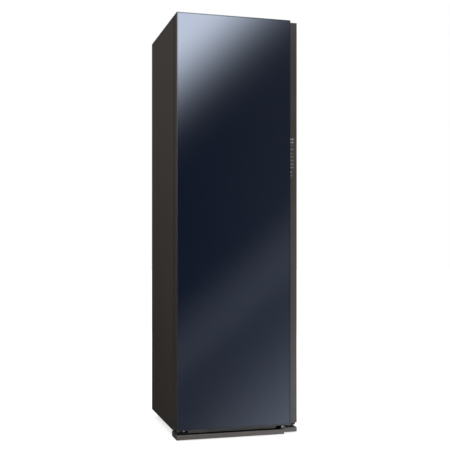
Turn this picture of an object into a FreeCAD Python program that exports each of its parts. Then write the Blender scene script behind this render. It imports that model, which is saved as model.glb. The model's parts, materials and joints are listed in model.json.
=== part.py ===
import FreeCAD, Part
import math
import os

from FreeCAD import Vector

# A clothes care steam cabinet: a tall steel case with a glass-fronted door hinged on its left,
# a hanging chamber above, two water tanks and a heat pump below, and a fan unit under the top.
# Millimetres. X runs to the right, Y to the back, Z up; the origin is on the floor, under the
# middle of the closed cabinet.

# ---- overall size ----
WIDTH = 595.0
HEIGHT = 1960.0
DEPTH = 632.0
LEFT = -WIDTH / 2
RIGHT = WIDTH / 2
FRONT = -DEPTH / 2
BACK = DEPTH / 2
RUNNING = 0.05      # radial clearance of a pin in its bush
LOOSE = 0.3         # gap between pieces that lift or slide off each other

# ---- case ----
HINGE_PLATE = 4.5
CASE_TOP = HEIGHT - HINGE_PLATE
CASE_BOTTOM = 32.0
DOOR_THICKNESS = 60.0
GASKET_GAP = 7.0
CASE_FRONT = FRONT + DOOR_THICKNESS + GASKET_GAP
SHEET = 1.2
FLANGE = 20.0
FRAME_THICKNESS = 3.0
FRAME_BACK = CASE_FRONT + FRAME_THICKNESS
REAR_INSIDE = BACK - 2 * SHEET - 0.2
INNER_HALF_WIDTH = RIGHT - FLANGE - 0.5

# ---- base and plinth ----
BASE_BOTTOM = 30.0
BASE_PLATE = 3.0
BASE_RAIL_TOP = 70.0
TOE_LIP = (LEFT + 63.0, LEFT + 497.0)
TOE_LIP_BOTTOM = 19.5
PLINTH_BOTTOM = 4.0
PLINTH_TOP = 26.0
PLINTH_FRONT = FRONT + 4.0
PLINTH_STEP_X = LEFT + 517.0
PLINTH_STEP_Y = FRONT + 36.0
PLINTH_BACK = FRONT + 112.0
PLINTH_RETURN_BACK = FRONT + 226.0
PLINTH_WALL = 8.0
FOOT_X = 247.0
FOOT_FRONT_Y = -225.0
FOOT_REAR_Y = 280.0
FOOT_STUD = 5.0
FOOT_BOSS = 11.0

# ---- chamber ----
CHAMBER_HALF = 250.0
CHAMBER_FLOOR = 505.0
CHAMBER_CEILING = 1775.0
CHAMBER_BACK = 230.0
LINER = 3.0
FLOOR_PLATE = 4.0
PLATE_HALF = 275.0
LEDGE_TOP = 704.0
LEDGE_WIDTH = 7.0
FILTER_WELL = (-195.0, -45.0, 45.0, 195.0)
AIR_OUTLET = (130.0, 240.0, 60.0, 180.0)
STEAM_OUTLET = (-30.0, 30.0, -130.0, -90.0)
LAMP_HOLE = (-60.0, 60.0, -215.0, -185.0)
AIR_SLOT = (-200.0, 200.0, -40.0, 20.0)

# ---- hanging rail ----
RAIL_Y = -10.0
RAIL_Z = 1745.0
RAIL_RADIUS = 8.0
RAIL_HALF = 228.0
HANGER_PITCH = 130.0
HANGER_HALF_SPAN = 200.0

# ---- fan unit under the top ----
TOP_FAN_X = 0.0
TOP_FAN_Y = 60.0
SHAFT = 4.0

# ---- tanks ----
BAY_HALF = 222.0
BAY_FLOOR = 76.0
BAY_TOP = 432.0
BAY_BACK = -55.0
TANK_INNER_X = 6.0
TANK_OUTER_X = 216.0
TANK_FRONT = -222.0
TANK_BACK = -62.0
TANK_HEIGHT = 324.0
TANK_WALL = 2.5

# ---- heat pump ----
DUCT = (-212.0, 270.0, 25.0, 215.0, 300.0, CHAMBER_FLOOR - FLOOR_PLATE)
DUCT_WALL = 2.5
EVAPORATOR_X = -20.0
CONDENSER_X = 55.0
COIL_LENGTH = 60.0
BLOWER_X = 195.0
BLOWER_Z = 390.0
BLOWER_RADIUS = 58.0
COMPRESSOR_X = -180.0
COMPRESSOR_Y = 120.0
COMPRESSOR_RADIUS = 62.0
COMPRESSOR_TOP = 250.0
PIPE_RADIUS = 4.0
HOSE_RADIUS = 6.0
PUMP_Y = -15.0
PUMP_TOP = 96.0

# ---- door, measured from its left edge and from the face of its glass ----
DOOR_BOTTOM = 47.0
DOOR_TOP = CASE_TOP
GLASS_WIDTH = 547.0
TRIM_FACE = 3.5
TRIM_DEPTH = 12.0
GLASS_THICKNESS = 4.0
GRIP_WALL = 527.0
STRIP_SETBACK = 40.0
STRIP_THICKNESS = 3.0
STRIP_CORNER = 6.0
SHELL = 2.0
LINER_FRONT = 57.0
PIVOT_X = LEFT + 14.0
PIVOT_Y = FRONT + 30.0
PIN_RADIUS = 5.0
BUSH_RADIUS = 9.0
BUSH_LENGTH = 24.0
BOLT_OFFSET = 23.0
BOLT_REACH = 8.0

# ---- screws ----
SCREW_SHANK = 2.0
SCREW_HEAD = 4.0
REAR_SCREW_X = RIGHT - 10.0
REAR_SCREW_Z = [80.0, 520.0, 960.0, 1400.0, 1900.0]
REAR_SCREW_LENGTH = 12.0
GLAND_X = 210.0
GLAND_Z = 90.0
GLAND_RADIUS = 11.0


def block(x0, x1, y0, y1, z0, z1):
    """A box between two corners."""
    return Part.makeBox(x1 - x0, y1 - y0, z1 - z0, Vector(x0, y0, z0))


def rod(radius, start, direction, length):
    """A cylinder from a start point along a direction."""
    return Part.makeCylinder(radius, length, Vector(*start), Vector(*direction))


def upright(radius, x, y, z0, z1):
    """A cylinder standing on (x, y) between two heights."""
    return rod(radius, (x, y, z0), (0, 0, 1), z1 - z0)


def prism(points, z0, z1):
    """A polygon in plan, drawn up between two heights."""
    outline = [Vector(x, y, z0) for x, y in points]
    outline.append(outline[0])
    return Part.Face(Part.makePolygon(outline)).extrude(Vector(0, 0, z1 - z0))


def hexagon(reach, x, y, z0, z1):
    """A six-sided bar standing on (x, y), as far to its corners as the reach."""
    corners = [(x + reach * math.cos(math.radians(60 * k)),
                y + reach * math.sin(math.radians(60 * k))) for k in range(6)]
    return prism(corners, z0, z1)


def cut_all(shape, tools):
    """Take a list of shapes away from one."""
    return shape.cut(Part.makeCompound(tools)) if tools else shape


def fuse_all(shapes):
    """Join a list of shapes into one clean solid."""
    return shapes[0].multiFuse(shapes[1:]).removeSplitter()


def open_box(outer, wall, sides):
    """A box with walls, left open on the sides named, such as 'front' or 'top'."""
    x0, x1, y0, y1, z0, z1 = outer
    reach = {name: (-1.0 if name in sides else wall)
             for name in ("left", "right", "front", "back", "bottom", "top")}
    hollow = block(x0 + reach["left"], x1 - reach["right"], y0 + reach["front"],
                   y1 - reach["back"], z0 + reach["bottom"], z1 - reach["top"])
    return block(*outer).cut(hollow)


def round_edges(shape, radius, chosen):
    """Fillet the edges whose centre passes the test given."""
    edges = [edge for edge in shape.Edges if chosen(edge.CenterOfMass, edge)]
    return shape.makeFillet(radius, edges)


def is_upright(edge):
    """True for an edge that runs along Z."""
    direction = edge.Vertexes[-1].Point - edge.Vertexes[0].Point
    return abs(direction.z) > 0.99 * direction.Length


def bent_tube(points, radius, bend):
    """A solid tube along straight runs joined by arcs of one bend radius."""
    corners = [Vector(*point) for point in points]
    edges = []
    start = corners[0]
    for here, corner, after in zip(corners, corners[1:], corners[2:]):
        back = (here - corner).normalize()
        ahead = (after - corner).normalize()
        half = back.getAngle(ahead) / 2
        reach = bend / math.tan(half)
        first = corner + back * reach
        last = corner + ahead * reach
        towards = (back + ahead).normalize()
        middle = corner + towards * (bend / math.sin(half) - bend)
        edges.append(Part.LineSegment(start, first).toShape())
        edges.append(Part.Arc(first, middle, last).toShape())
        start = last
    edges.append(Part.LineSegment(start, corners[-1]).toShape())
    run = corners[1] - corners[0]
    section = Part.Wire([Part.makeCircle(radius, corners[0], run)])
    return Part.Wire(edges).makePipeShell([section], True, False)


def mirrored(shape):
    """The same piece on the other side of the cabinet."""
    return shape.mirror(Vector(0, 0, 0), Vector(1, 0, 0))


# ---- case ----
def side_panel_left():
    """A folded steel sheet with a front and a rear flange."""
    outer = block(LEFT, LEFT + FLANGE, CASE_FRONT, BACK, CASE_BOTTOM, CASE_TOP)
    hollow = block(LEFT + SHEET, LEFT + FLANGE + 1, CASE_FRONT + SHEET, BACK - SHEET,
                   CASE_BOTTOM - 1, CASE_TOP + 1)
    panel = outer.cut(hollow)
    panel = round_edges(panel, 2.5, lambda c, e: is_upright(e) and c.x < LEFT + 0.1)
    heads = [rod(SCREW_HEAD, (-REAR_SCREW_X, BACK - 2 * SHEET, z), (0, 1, 0), 5)
             for z in REAR_SCREW_Z]
    return cut_all(panel, heads)


def side_panel_right():
    """The left side panel's mirror image."""
    return mirrored(side_panel_left())


def upper_screw_places():
    """Where the upper hinge bracket is screwed to the top."""
    return [(LEFT + 18, CASE_FRONT + 20), (LEFT + 50, CASE_FRONT + 20),
            (LEFT + 34, CASE_FRONT + 58)]


def lower_screw_places():
    """Where the lower hinge bracket is screwed to the base rail."""
    return [(LEFT + 34, 44.0), (LEFT + 50, 44.0)]


def top_panel():
    """The flat lid of the case, let in between the side panels."""
    panel = block(LEFT + SHEET + 0.1, RIGHT - SHEET - 0.1, CASE_FRONT + SHEET + 0.1,
                  BACK - SHEET - 0.1, CASE_TOP - 3.5, CASE_TOP)
    holes = [upright(SCREW_SHANK, x, y, CASE_TOP - 6, CASE_TOP + 1)
             for x, y in upper_screw_places()]
    return cut_all(panel, holes)


def rear_panel():
    """The steel back, with two columns of vents for the machine space."""
    panel = block(LEFT + 3.5, RIGHT - 3.5, REAR_INSIDE, REAR_INSIDE + SHEET,
                  BASE_BOTTOM + 4, CASE_TOP - 4)
    cuts = []
    for row in range(12):
        z = 170.0 + 20.0 * row
        for x in (-240.0, 130.0):
            cuts.append(block(x, x + 110, REAR_INSIDE - 1, BACK, z, z + 7))
    for z in REAR_SCREW_Z:
        for x in (-REAR_SCREW_X, REAR_SCREW_X):
            cuts.append(rod(SCREW_SHANK, (x, REAR_INSIDE - 1, z), (0, 1, 0), 5))
    cuts.append(rod(GLAND_RADIUS, (GLAND_X, REAR_INSIDE - 1, GLAND_Z), (0, 1, 0), 5))
    return cut_all(panel, cuts)


def casing_screws():
    """Countersunk screws of the back panel and of both hinge brackets."""
    screws = []
    for z in REAR_SCREW_Z:
        for x in (-REAR_SCREW_X, REAR_SCREW_X):
            head = rod(SCREW_HEAD - 0.1, (x, BACK - SHEET, z), (0, 1, 0), SHEET)
            shank = rod(SCREW_SHANK - 0.1, (x, BACK - SHEET, z), (0, -1, 0), REAR_SCREW_LENGTH)
            screws.append(head.fuse(shank))
    for x, y in upper_screw_places():
        head = upright(SCREW_HEAD - 0.1, x, y, HEIGHT - 1.5, HEIGHT)
        screws.append(head.fuse(upright(SCREW_SHANK - 0.1, x, y, CASE_TOP - 3.5, HEIGHT - 1.5)))
    for x, z in lower_screw_places():
        head = rod(SCREW_HEAD - 0.1, (x, CASE_FRONT - 3.5, z), (0, 1, 0), 1.5)
        shank = rod(SCREW_SHANK - 0.1, (x, CASE_FRONT - 2, z), (0, 1, 0), 5)
        screws.append(head.fuse(shank))
    return Part.makeCompound(screws)


def foot_places():
    """The four feet by name."""
    return {"foot_front_left": (-FOOT_X, FOOT_FRONT_Y),
            "foot_front_right": (FOOT_X, FOOT_FRONT_Y),
            "foot_rear_left": (-FOOT_X, FOOT_REAR_Y),
            "foot_rear_right": (FOOT_X, FOOT_REAR_Y)}


def base_frame():
    """A steel tray with a front rail, foot bosses and two posts under the chamber floor."""
    plate_back = BACK - 6
    pieces = [block(LEFT + 5.5, RIGHT - 5.5, FRAME_BACK, plate_back, BASE_BOTTOM,
                    BASE_BOTTOM + BASE_PLATE),
              block(-INNER_HALF_WIDTH, INNER_HALF_WIDTH, CASE_FRONT, FRAME_BACK, BASE_BOTTOM,
                    BASE_RAIL_TOP),
              block(*TOE_LIP, CASE_FRONT, FRAME_BACK, TOE_LIP_BOTTOM, BASE_BOTTOM)]
    for x in (LEFT + 5.5, RIGHT - 7.5):
        pieces.append(block(x, x + 2, FRAME_BACK, plate_back, BASE_BOTTOM, 52))
    pieces.append(block(LEFT + 5.5, RIGHT - 5.5, plate_back - 2, plate_back, BASE_BOTTOM, 52))
    for x, y in foot_places().values():
        pieces.append(upright(FOOT_BOSS, x, y, PLINTH_TOP, 50))
    for x in (-PLATE_HALF + 3, PLATE_HALF - 15):
        pieces.append(block(x, x + 12, CHAMBER_BACK - 12, CHAMBER_BACK + LINER, BASE_BOTTOM,
                            CHAMBER_FLOOR - FLOOR_PLATE))
    holes = [upright(FOOT_STUD + RUNNING, x, y, 0, 80) for x, y in foot_places().values()]
    for x, z in lower_screw_places():
        holes.append(rod(SCREW_SHANK, (x, CASE_FRONT - 5, z), (0, 1, 0), 12))
    return cut_all(fuse_all(pieces), holes)


def plinth_plan(inset, back):
    """The plinth in plan, drawn in by an inset on every side but the back."""
    step = PLINTH_STEP_X - inset
    right = RIGHT - 3 - inset
    return [(LEFT + inset, back), (LEFT + inset, PLINTH_FRONT + inset),
            (step, PLINTH_FRONT + inset), (step, PLINTH_STEP_Y + inset),
            (right, PLINTH_STEP_Y + inset), (right, back)]


def plinth_cover():
    """A skirt under the door that steps back on the right, with two tabs and a long right end."""
    cover = prism(plinth_plan(0, PLINTH_BACK), PLINTH_BOTTOM, PLINTH_TOP)
    front_edges = [PLINTH_FRONT, PLINTH_STEP_Y]
    cover = round_edges(cover, 3.5, lambda c, e: not is_upright(e) and c.z > PLINTH_TOP - 1
                        and min(abs(c.y - y) for y in front_edges) < 0.1)
    cover = round_edges(cover, 2, lambda c, e: not is_upright(e) and c.z < PLINTH_BOTTOM + 1
                        and min(abs(c.y - y) for y in front_edges) < 0.1)
    cover = cover.cut(prism(plinth_plan(PLINTH_WALL, PLINTH_BACK + 1), PLINTH_BOTTOM - 1,
                            PLINTH_TOP + 1))
    tabs = [block(LEFT + 7, LEFT + 30, PLINTH_BACK - 17, PLINTH_BACK, PLINTH_TOP - 6, BASE_BOTTOM),
            block(RIGHT - 30, RIGHT - 10, PLINTH_BACK - 17, PLINTH_BACK, PLINTH_TOP - 6,
                  BASE_BOTTOM)]
    long_end = block(RIGHT - 3 - PLINTH_WALL, RIGHT - 3, PLINTH_BACK, PLINTH_RETURN_BACK,
                     PLINTH_BOTTOM, PLINTH_TOP)
    return fuse_all([cover, long_end] + tabs)


def levelling_foot(x, y):
    """A screw foot: round pad, neck, hexagon and stud."""
    pad = upright(18, x, y, 0, 7)
    pad = round_edges(pad, 1.5, lambda c, e: True)
    return fuse_all([pad, upright(7, x, y, 6, 12), hexagon(10.5, x, y, 12, 24),
                     upright(FOOT_STUD, x, y, 24, 62)])


def hinge_upper_bracket():
    """A flat plate over the door's top corner, screwed to the top of the case."""
    plate = block(LEFT + 4, LEFT + 64, FRONT + 17, CASE_FRONT + 74, CASE_TOP, HEIGHT)
    arm_gap = block(LEFT, LEFT + 70, FRONT, CASE_FRONT, CASE_TOP - 1, CASE_TOP + 1)
    plate = round_edges(plate, 8, lambda c, e: is_upright(e))
    cuts = [arm_gap, upright(PIN_RADIUS, PIVOT_X, PIVOT_Y, CASE_TOP, HEIGHT + 1)]
    for x, y in upper_screw_places():
        cuts.append(upright(SCREW_SHANK, x, y, CASE_TOP - 1, HEIGHT + 1))
        cuts.append(upright(SCREW_HEAD, x, y, HEIGHT - 1.5, HEIGHT + 1))
    return cut_all(plate, cuts)


def hinge_lower_bracket():
    """An angle on the base rail that carries the door's lower pin, folded down at its front."""
    shelf = block(LEFT + 4, LEFT + 58, FRONT + 18, CASE_FRONT, 32, 36)
    shelf = round_edges(shelf, 8, lambda c, e: is_upright(e) and c.y < FRONT + 19)
    flange = block(LEFT + 21, LEFT + 58, CASE_FRONT - 3.5, CASE_FRONT, 32, 52)
    fold = block(LEFT + 12, LEFT + 50, FRONT + 18, FRONT + 21, 20, 34)
    cuts = [upright(PIN_RADIUS, PIVOT_X, PIVOT_Y, 30, 40)]
    for x, z in lower_screw_places():
        cuts.append(rod(SCREW_SHANK, (x, CASE_FRONT - 5, z), (0, 1, 0), 8))
        cuts.append(rod(SCREW_HEAD, (x, CASE_FRONT - 5, z), (0, 1, 0), 3))
    return cut_all(fuse_all([shelf, flange, fold]), cuts)


def hinge_pins():
    """The two fixed steel pins that the door turns on, and a bolt beside the lower one."""
    lower = upright(PIN_RADIUS, PIVOT_X, PIVOT_Y, 32, 68)
    upper = upright(PIN_RADIUS, PIVOT_X, PIVOT_Y, DOOR_TOP - 20, HEIGHT)
    bolt = hexagon(BOLT_REACH, PIVOT_X + BOLT_OFFSET, PIVOT_Y, 36, 42)
    return Part.makeCompound([lower, upper, bolt])


# ---- chamber ----
def front_frame():
    """The moulded frame round the chamber's mouth and the tank bay."""
    frame = block(-INNER_HALF_WIDTH, INNER_HALF_WIDTH, CASE_FRONT, FRAME_BACK,
                  BASE_RAIL_TOP + 0.3, CASE_TOP - 4)
    mouths = [block(-BAY_HALF, BAY_HALF, CASE_FRONT - 1, FRAME_BACK + 1, BAY_FLOOR, BAY_TOP),
              block(-CHAMBER_HALF, CHAMBER_HALF, CASE_FRONT - 1, FRAME_BACK + 1, CHAMBER_FLOOR,
                    CHAMBER_CEILING)]
    return cut_all(frame, mouths)


def chamber_liner():
    """The chamber's side and back walls, with a ledge on each side for the shelf."""
    outer = block(-CHAMBER_HALF - LINER, CHAMBER_HALF + LINER, FRAME_BACK,
                  CHAMBER_BACK + LINER, CHAMBER_FLOOR, CHAMBER_CEILING)
    inner = block(-CHAMBER_HALF, CHAMBER_HALF, FRAME_BACK - 1, CHAMBER_BACK,
                  CHAMBER_FLOOR - 1, CHAMBER_CEILING + 1)
    walls = outer.cut(inner)
    ledge = block(-CHAMBER_HALF - 1, -CHAMBER_HALF + LEDGE_WIDTH, -180, 180, LEDGE_TOP - 4,
                  LEDGE_TOP)
    return fuse_all([walls, ledge, mirrored(ledge)])


def plate_with_holes(z0, z1, holes):
    """A plate across the chamber with rectangular holes."""
    plate = block(-PLATE_HALF, PLATE_HALF, FRAME_BACK, CHAMBER_BACK + LINER, z0, z1)
    return cut_all(plate, [block(*hole, z0 - 1, z1 + 1) for hole in holes])


def chamber_floor():
    """The chamber's floor, open for the filter, the steam and the dried air."""
    return plate_with_holes(CHAMBER_FLOOR - FLOOR_PLATE, CHAMBER_FLOOR,
                            [FILTER_WELL, AIR_OUTLET, STEAM_OUTLET])


def chamber_ceiling():
    """The chamber's ceiling, open for the lamp and the air jets."""
    return plate_with_holes(CHAMBER_CEILING, CHAMBER_CEILING + FLOOR_PLATE,
                            [LAMP_HOLE, AIR_SLOT])


def felt_pads():
    """Sound-deadening felt on the inside of each side panel."""
    pad = block(LEFT + 3.5, LEFT + 11.5, FRAME_BACK + 5, REAR_INSIDE - 12, 60, CASE_TOP - 12)
    return Part.makeCompound([pad, mirrored(pad)])


def lamp_lens():
    """A frosted lamp window let into the ceiling."""
    x0, x1, y0, y1 = LAMP_HOLE
    flange = block(x0 - 6, x1 + 6, y0 - 6, y1 + 6, CHAMBER_CEILING - 3, CHAMBER_CEILING)
    flange = round_edges(flange, 2, lambda c, e: is_upright(e))
    return flange.fuse(block(x0 + LOOSE, x1 - LOOSE, y0 + LOOSE, y1 - LOOSE, CHAMBER_CEILING,
                             CHAMBER_CEILING + 3)).removeSplitter()


def air_unit_housing():
    """The box over the ceiling that leads the fan's air down to the jets."""
    return open_box((-245, 245, -220, 220, CHAMBER_CEILING + FLOOR_PLATE, 1945), 2.5, ["bottom"])


def top_fan_motor():
    """The upper fan's motor, hung under the housing's roof with its shaft down."""
    can = upright(45, TOP_FAN_X, TOP_FAN_Y, 1866, 1942.5)
    can = round_edges(can, 6, lambda c, e: c.z < 1867)
    return can.fuse(upright(SHAFT, TOP_FAN_X, TOP_FAN_Y, 1812, 1867)).removeSplitter()


def impeller(radius, depth, blades):
    """A centrifugal wheel on +Z: a back disc, a hub, curved-in blades and a front ring."""
    disc = upright(radius, 0, 0, depth - 2, depth)
    hub = upright(12, 0, 0, 6, depth)
    ring = upright(radius, 0, 0, 0, 3).cut(upright(radius - 12, 0, 0, -1, 4))
    wheel = [disc, hub, ring]
    for k in range(blades):
        blade = block(radius - 13, radius - 1, -0.9, 0.9, 1, depth - 1)
        blade.rotate(Vector(radius - 7, 0, 0), Vector(0, 0, 1), 35)
        blade.rotate(Vector(0, 0, 0), Vector(0, 0, 1), 360.0 * k / blades)
        wheel.append(blade)
    bore = upright(SHAFT + RUNNING, 0, 0, -1, depth + 1)
    return fuse_all(wheel).cut(bore)


def top_fan_impeller():
    """The upper fan's wheel, under its motor."""
    wheel = impeller(80, 45, 24)
    wheel.translate(Vector(TOP_FAN_X, TOP_FAN_Y, 1815))
    return wheel


def air_nozzle_bar():
    """A shallow channel under the ceiling with one jet slot over each hanger."""
    x0, x1, y0, y1 = AIR_SLOT
    bar = open_box((x0 - 15, x1 + 15, y0 - 5, y1 + 5, CHAMBER_CEILING - 12, CHAMBER_CEILING),
                   2.5, ["top"])
    slots = [block(x - 4, x + 4, y0 + 2, y1 - 2, CHAMBER_CEILING - 13, CHAMBER_CEILING - 9)
             for x in (-HANGER_PITCH, 0.0, HANGER_PITCH)]
    return cut_all(bar, slots)


def hanger_rail():
    """The bar that the hangers clip onto, with a post at each end."""
    bar = rod(RAIL_RADIUS, (-RAIL_HALF, RAIL_Y, RAIL_Z), (1, 0, 0), 2 * RAIL_HALF)
    post = block(-RAIL_HALF - 8, -RAIL_HALF, RAIL_Y - 12, RAIL_Y + 12, RAIL_Z - 12,
                 CHAMBER_CEILING)
    return fuse_all([bar, post, mirrored(post)])


def hanger(x):
    """A broad moulded hanger, its shoulders front to back, on a clip round the rail."""
    top = RAIL_Z - 23
    clip = rod(13, (x - 5, RAIL_Y, RAIL_Z), (1, 0, 0), 10)
    gap = rod(RAIL_RADIUS + LOOSE, (x - 6, RAIL_Y, RAIL_Z), (1, 0, 0), 12)
    mouth = block(x - 6, x + 6, RAIL_Y, RAIL_Y + 14, RAIL_Z - 14, RAIL_Z)
    clip = clip.cut(gap).cut(mouth)
    neck = block(x - 5, x + 5, RAIL_Y - 7, RAIL_Y, top - 6, RAIL_Z - 10)
    tip = HANGER_HALF_SPAN
    upper = [Vector(x - 13, RAIL_Y - tip, top - 66), Vector(x - 13, RAIL_Y - tip / 2, top - 19),
             Vector(x - 13, RAIL_Y, top), Vector(x - 13, RAIL_Y + tip / 2, top - 19),
             Vector(x - 13, RAIL_Y + tip, top - 66)]
    lower = [point - Vector(0, 0, 18) for point in upper]
    crown = Part.BSplineCurve()
    crown.interpolate(upper)
    under = Part.BSplineCurve()
    under.interpolate(lower)
    ends = [Part.LineSegment(upper[0], lower[0]).toShape(),
            Part.LineSegment(upper[-1], lower[-1]).toShape()]
    outline = Part.Wire(Part.__sortEdges__([crown.toShape(), under.toShape()] + ends))
    shoulders = Part.Face(outline).extrude(Vector(26, 0, 0))
    return fuse_all([clip, neck, shoulders])


def accessory_shelf():
    """A slotted shelf that lies on the liner's two ledges."""
    half = CHAMBER_HALF - 2
    z0 = LEDGE_TOP + LOOSE
    shelf = block(-half, half, -175, 175, z0, z0 + 7)
    shelf = round_edges(shelf, 12, lambda c, e: is_upright(e))
    slots = []
    for row in range(5):
        for column in (-1, 0, 1):
            x = 150.0 * column
            y = -120.0 + 60.0 * row
            slots.append(block(x - 55, x + 55, y - 7, y + 7, z0 - 1, z0 + 8))
    return cut_all(shelf, slots)


def dust_filter_frame():
    """The lift-out lint filter's frame, with a rim on the floor and a grip in the middle."""
    x0, x1, y0, y1 = FILTER_WELL
    z0 = CHAMBER_FLOOR + LOOSE
    tray = open_box((x0 + 0.5, x1 - 0.5, y0 + 0.5, y1 - 0.5, z0 - 34, z0), 2.5, ["top"])
    rim = block(x0 - 7, x1 + 7, y0 - 7, y1 + 7, z0, z0 + 3)
    rim = round_edges(rim, 6, lambda c, e: is_upright(e))
    rim = rim.cut(block(x0 + 3, x1 - 3, y0 + 3, y1 - 3, z0 - 1, z0 + 4))
    middle_x = (x0 + x1) / 2
    middle_y = (y0 + y1) / 2
    bridge = block(x0, x1, middle_y - 8, middle_y + 8, z0, z0 + 3)
    grip = block(middle_x - 25, middle_x + 25, middle_y - 6, middle_y + 6, z0, z0 + 20)
    grip = round_edges(grip, 4, lambda c, e: c.z > z0 + 1)
    windows = [block(x0 + 8 + 28 * k, x0 + 30 + 28 * k, y0 + 8, y1 - 8, z0 - 35, z0 - 31)
               for k in range(5)]
    return cut_all(fuse_all([tray, rim, bridge, grip]), windows)


def dust_filter_mesh():
    """The pleated lint mesh inside the filter's frame."""
    x0, x1, y0, y1 = FILTER_WELL
    pleats = 12
    pitch = (x1 - x0 - 8) / pleats
    bottom = CHAMBER_FLOOR - 31.1
    outline = []
    for k in range(pleats):
        outline.append((x0 + 4 + pitch * k, bottom + 3))
        outline.append((x0 + 4 + pitch * (k + 0.5), bottom + 15))
    outline.append((x1 - 4, bottom + 3))
    outline.append((x1 - 4, bottom))
    outline.append((x0 + 4, bottom))
    corners = [Vector(x, y0 + 4, z) for x, z in outline]
    corners.append(corners[0])
    return Part.Face(Part.makePolygon(corners)).extrude(Vector(0, y1 - y0 - 8, 0))


def air_outlet_grille():
    """The louvred plate over the dried air's outlet."""
    x0, x1, y0, y1 = AIR_OUTLET
    plate = block(x0 - 6, x1 + 6, y0 - 6, y1 + 6, CHAMBER_FLOOR, CHAMBER_FLOOR + 4)
    plate = round_edges(plate, 5, lambda c, e: is_upright(e))
    slots = [block(x0 + 4, x1 - 4, y0 + 6 + 13 * k, y0 + 13 + 13 * k, CHAMBER_FLOOR - 1,
                   CHAMBER_FLOOR + 5) for k in range(9)]
    return cut_all(plate, slots)


def steam_nozzle():
    """The steam outlet's raised cover, with three slits."""
    x0, x1, y0, y1 = STEAM_OUTLET
    cover = block(x0 - 5, x1 + 5, y0 - 5, y1 + 5, CHAMBER_FLOOR, CHAMBER_FLOOR + 10)
    cover = round_edges(cover, 6, lambda c, e: is_upright(e))
    cover = round_edges(cover, 2.5, lambda c, e: c.z > CHAMBER_FLOOR + 9)
    plug = block(x0 + LOOSE, x1 - LOOSE, y0 + LOOSE, y1 - LOOSE, CHAMBER_FLOOR - 8,
                 CHAMBER_FLOOR)
    hollow = block(x0 + 3, x1 - 3, y0 + 3, y1 - 3, CHAMBER_FLOOR - 9, CHAMBER_FLOOR + 7)
    slits = [block(x0 + 6, x1 - 6, y, y + 3, CHAMBER_FLOOR, CHAMBER_FLOOR + 11)
             for y in (y0 + 8, y0 + 18.5, y0 + 29)]
    return cut_all(fuse_all([cover, plug]), [hollow] + slits)


# ---- tanks ----
def tank_bay():
    """The moulded bay behind the door that both tanks slide into."""
    wall = 2.5
    bay = open_box((-BAY_HALF - wall, BAY_HALF + wall, FRAME_BACK, BAY_BACK + wall,
                    BAY_FLOOR - wall, BAY_TOP + wall), wall, ["front"])
    divider = block(-1.5, 1.5, FRAME_BACK, BAY_BACK + 1, BAY_FLOOR - 1, BAY_TOP + 1)
    return bay.fuse(divider).removeSplitter()


def tank_shell():
    """The left tank: an open box with rounded upright edges."""
    z0 = BAY_FLOOR + LOOSE
    z1 = z0 + TANK_HEIGHT
    outer = block(-TANK_OUTER_X, -TANK_INNER_X, TANK_FRONT, TANK_BACK, z0, z1)
    outer = round_edges(outer, 10, lambda c, e: is_upright(e))
    inner = block(-TANK_OUTER_X + TANK_WALL, -TANK_INNER_X - TANK_WALL, TANK_FRONT + TANK_WALL,
                  TANK_BACK - TANK_WALL, z0 + TANK_WALL, z1 + 1)
    inner = round_edges(inner, 8, lambda c, e: is_upright(e))
    return outer.cut(inner)


def tank_lid_shape():
    """The left tank's lid, with a filling mouth and a pull lip in front."""
    z0 = BAY_FLOOR + LOOSE + TANK_HEIGHT
    middle = -(TANK_OUTER_X + TANK_INNER_X) / 2
    lid = block(-TANK_OUTER_X, -TANK_INNER_X, TANK_FRONT, TANK_BACK, z0, z0 + 8)
    lid = round_edges(lid, 10, lambda c, e: is_upright(e))
    lip = block(middle - 55, middle + 55, TANK_FRONT - 14, TANK_FRONT, z0 - 14, z0 + 8)
    lip = round_edges(lip, 5, lambda c, e: c.y < TANK_FRONT - 13)
    scoop = block(middle - 47, middle + 47, TANK_FRONT - 9, TANK_FRONT + 1, z0 - 15, z0 - 0.5)
    mouth = block(middle - 30, middle + 30, -170, -130, z0 - 1, z0 + 9)
    rim = block(middle - 34, middle + 34, -174, -126, z0 + 8, z0 + 14)
    rim = round_edges(rim, 4, lambda c, e: is_upright(e))
    return cut_all(fuse_all([lid, lip, rim]), [scoop, mouth, mouth.translated(Vector(0, 0, 8))])


# ---- machine space ----
def steam_generator():
    """A flat sealed boiler under the chamber floor, with its outlet stub on top."""
    body = block(-90, 90, -235, -72, BAY_TOP + 2.5, 488)
    body = round_edges(body, 14, lambda c, e: is_upright(e))
    body = round_edges(body, 4, lambda c, e: c.z > 487)
    hollow = block(-82, 82, -227, -80, BAY_TOP + 7, 484)
    stub = upright(9, 0, -110, 486, CHAMBER_FLOOR - 8.2)
    stub_bore = upright(6, 0, -110, 480, CHAMBER_FLOOR)
    return cut_all(fuse_all([body, stub]), [hollow, stub_bore])


def pump(x):
    """A small water pump standing on the base: motor can, head and outlet stub."""
    can = upright(20, x, PUMP_Y, BASE_BOTTOM + BASE_PLATE, 78)
    can = round_edges(can, 3, lambda c, e: c.z > 77)
    head = upright(15, x, PUMP_Y, 78, PUMP_TOP - 6)
    return fuse_all([can, head, upright(7, x, PUMP_Y, PUMP_TOP - 6, PUMP_TOP)])


def water_pumps():
    """The supply pump and the drain pump."""
    return Part.makeCompound([pump(-40.0), pump(40.0)])


def water_hoses():
    """The feed to the boiler and the drain from the duct's sump."""
    supply = bent_tube([(-40, PUMP_Y, PUMP_TOP), (-40, PUMP_Y, 462), (-40, -72, 462)],
                       HOSE_RADIUS, 24)
    drain = bent_tube([(40, 100, DUCT[4]), (40, 100, 160), (40, PUMP_Y, 160),
                       (40, PUMP_Y, PUMP_TOP)], HOSE_RADIUS, 24)
    return Part.makeCompound([supply, drain])


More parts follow.
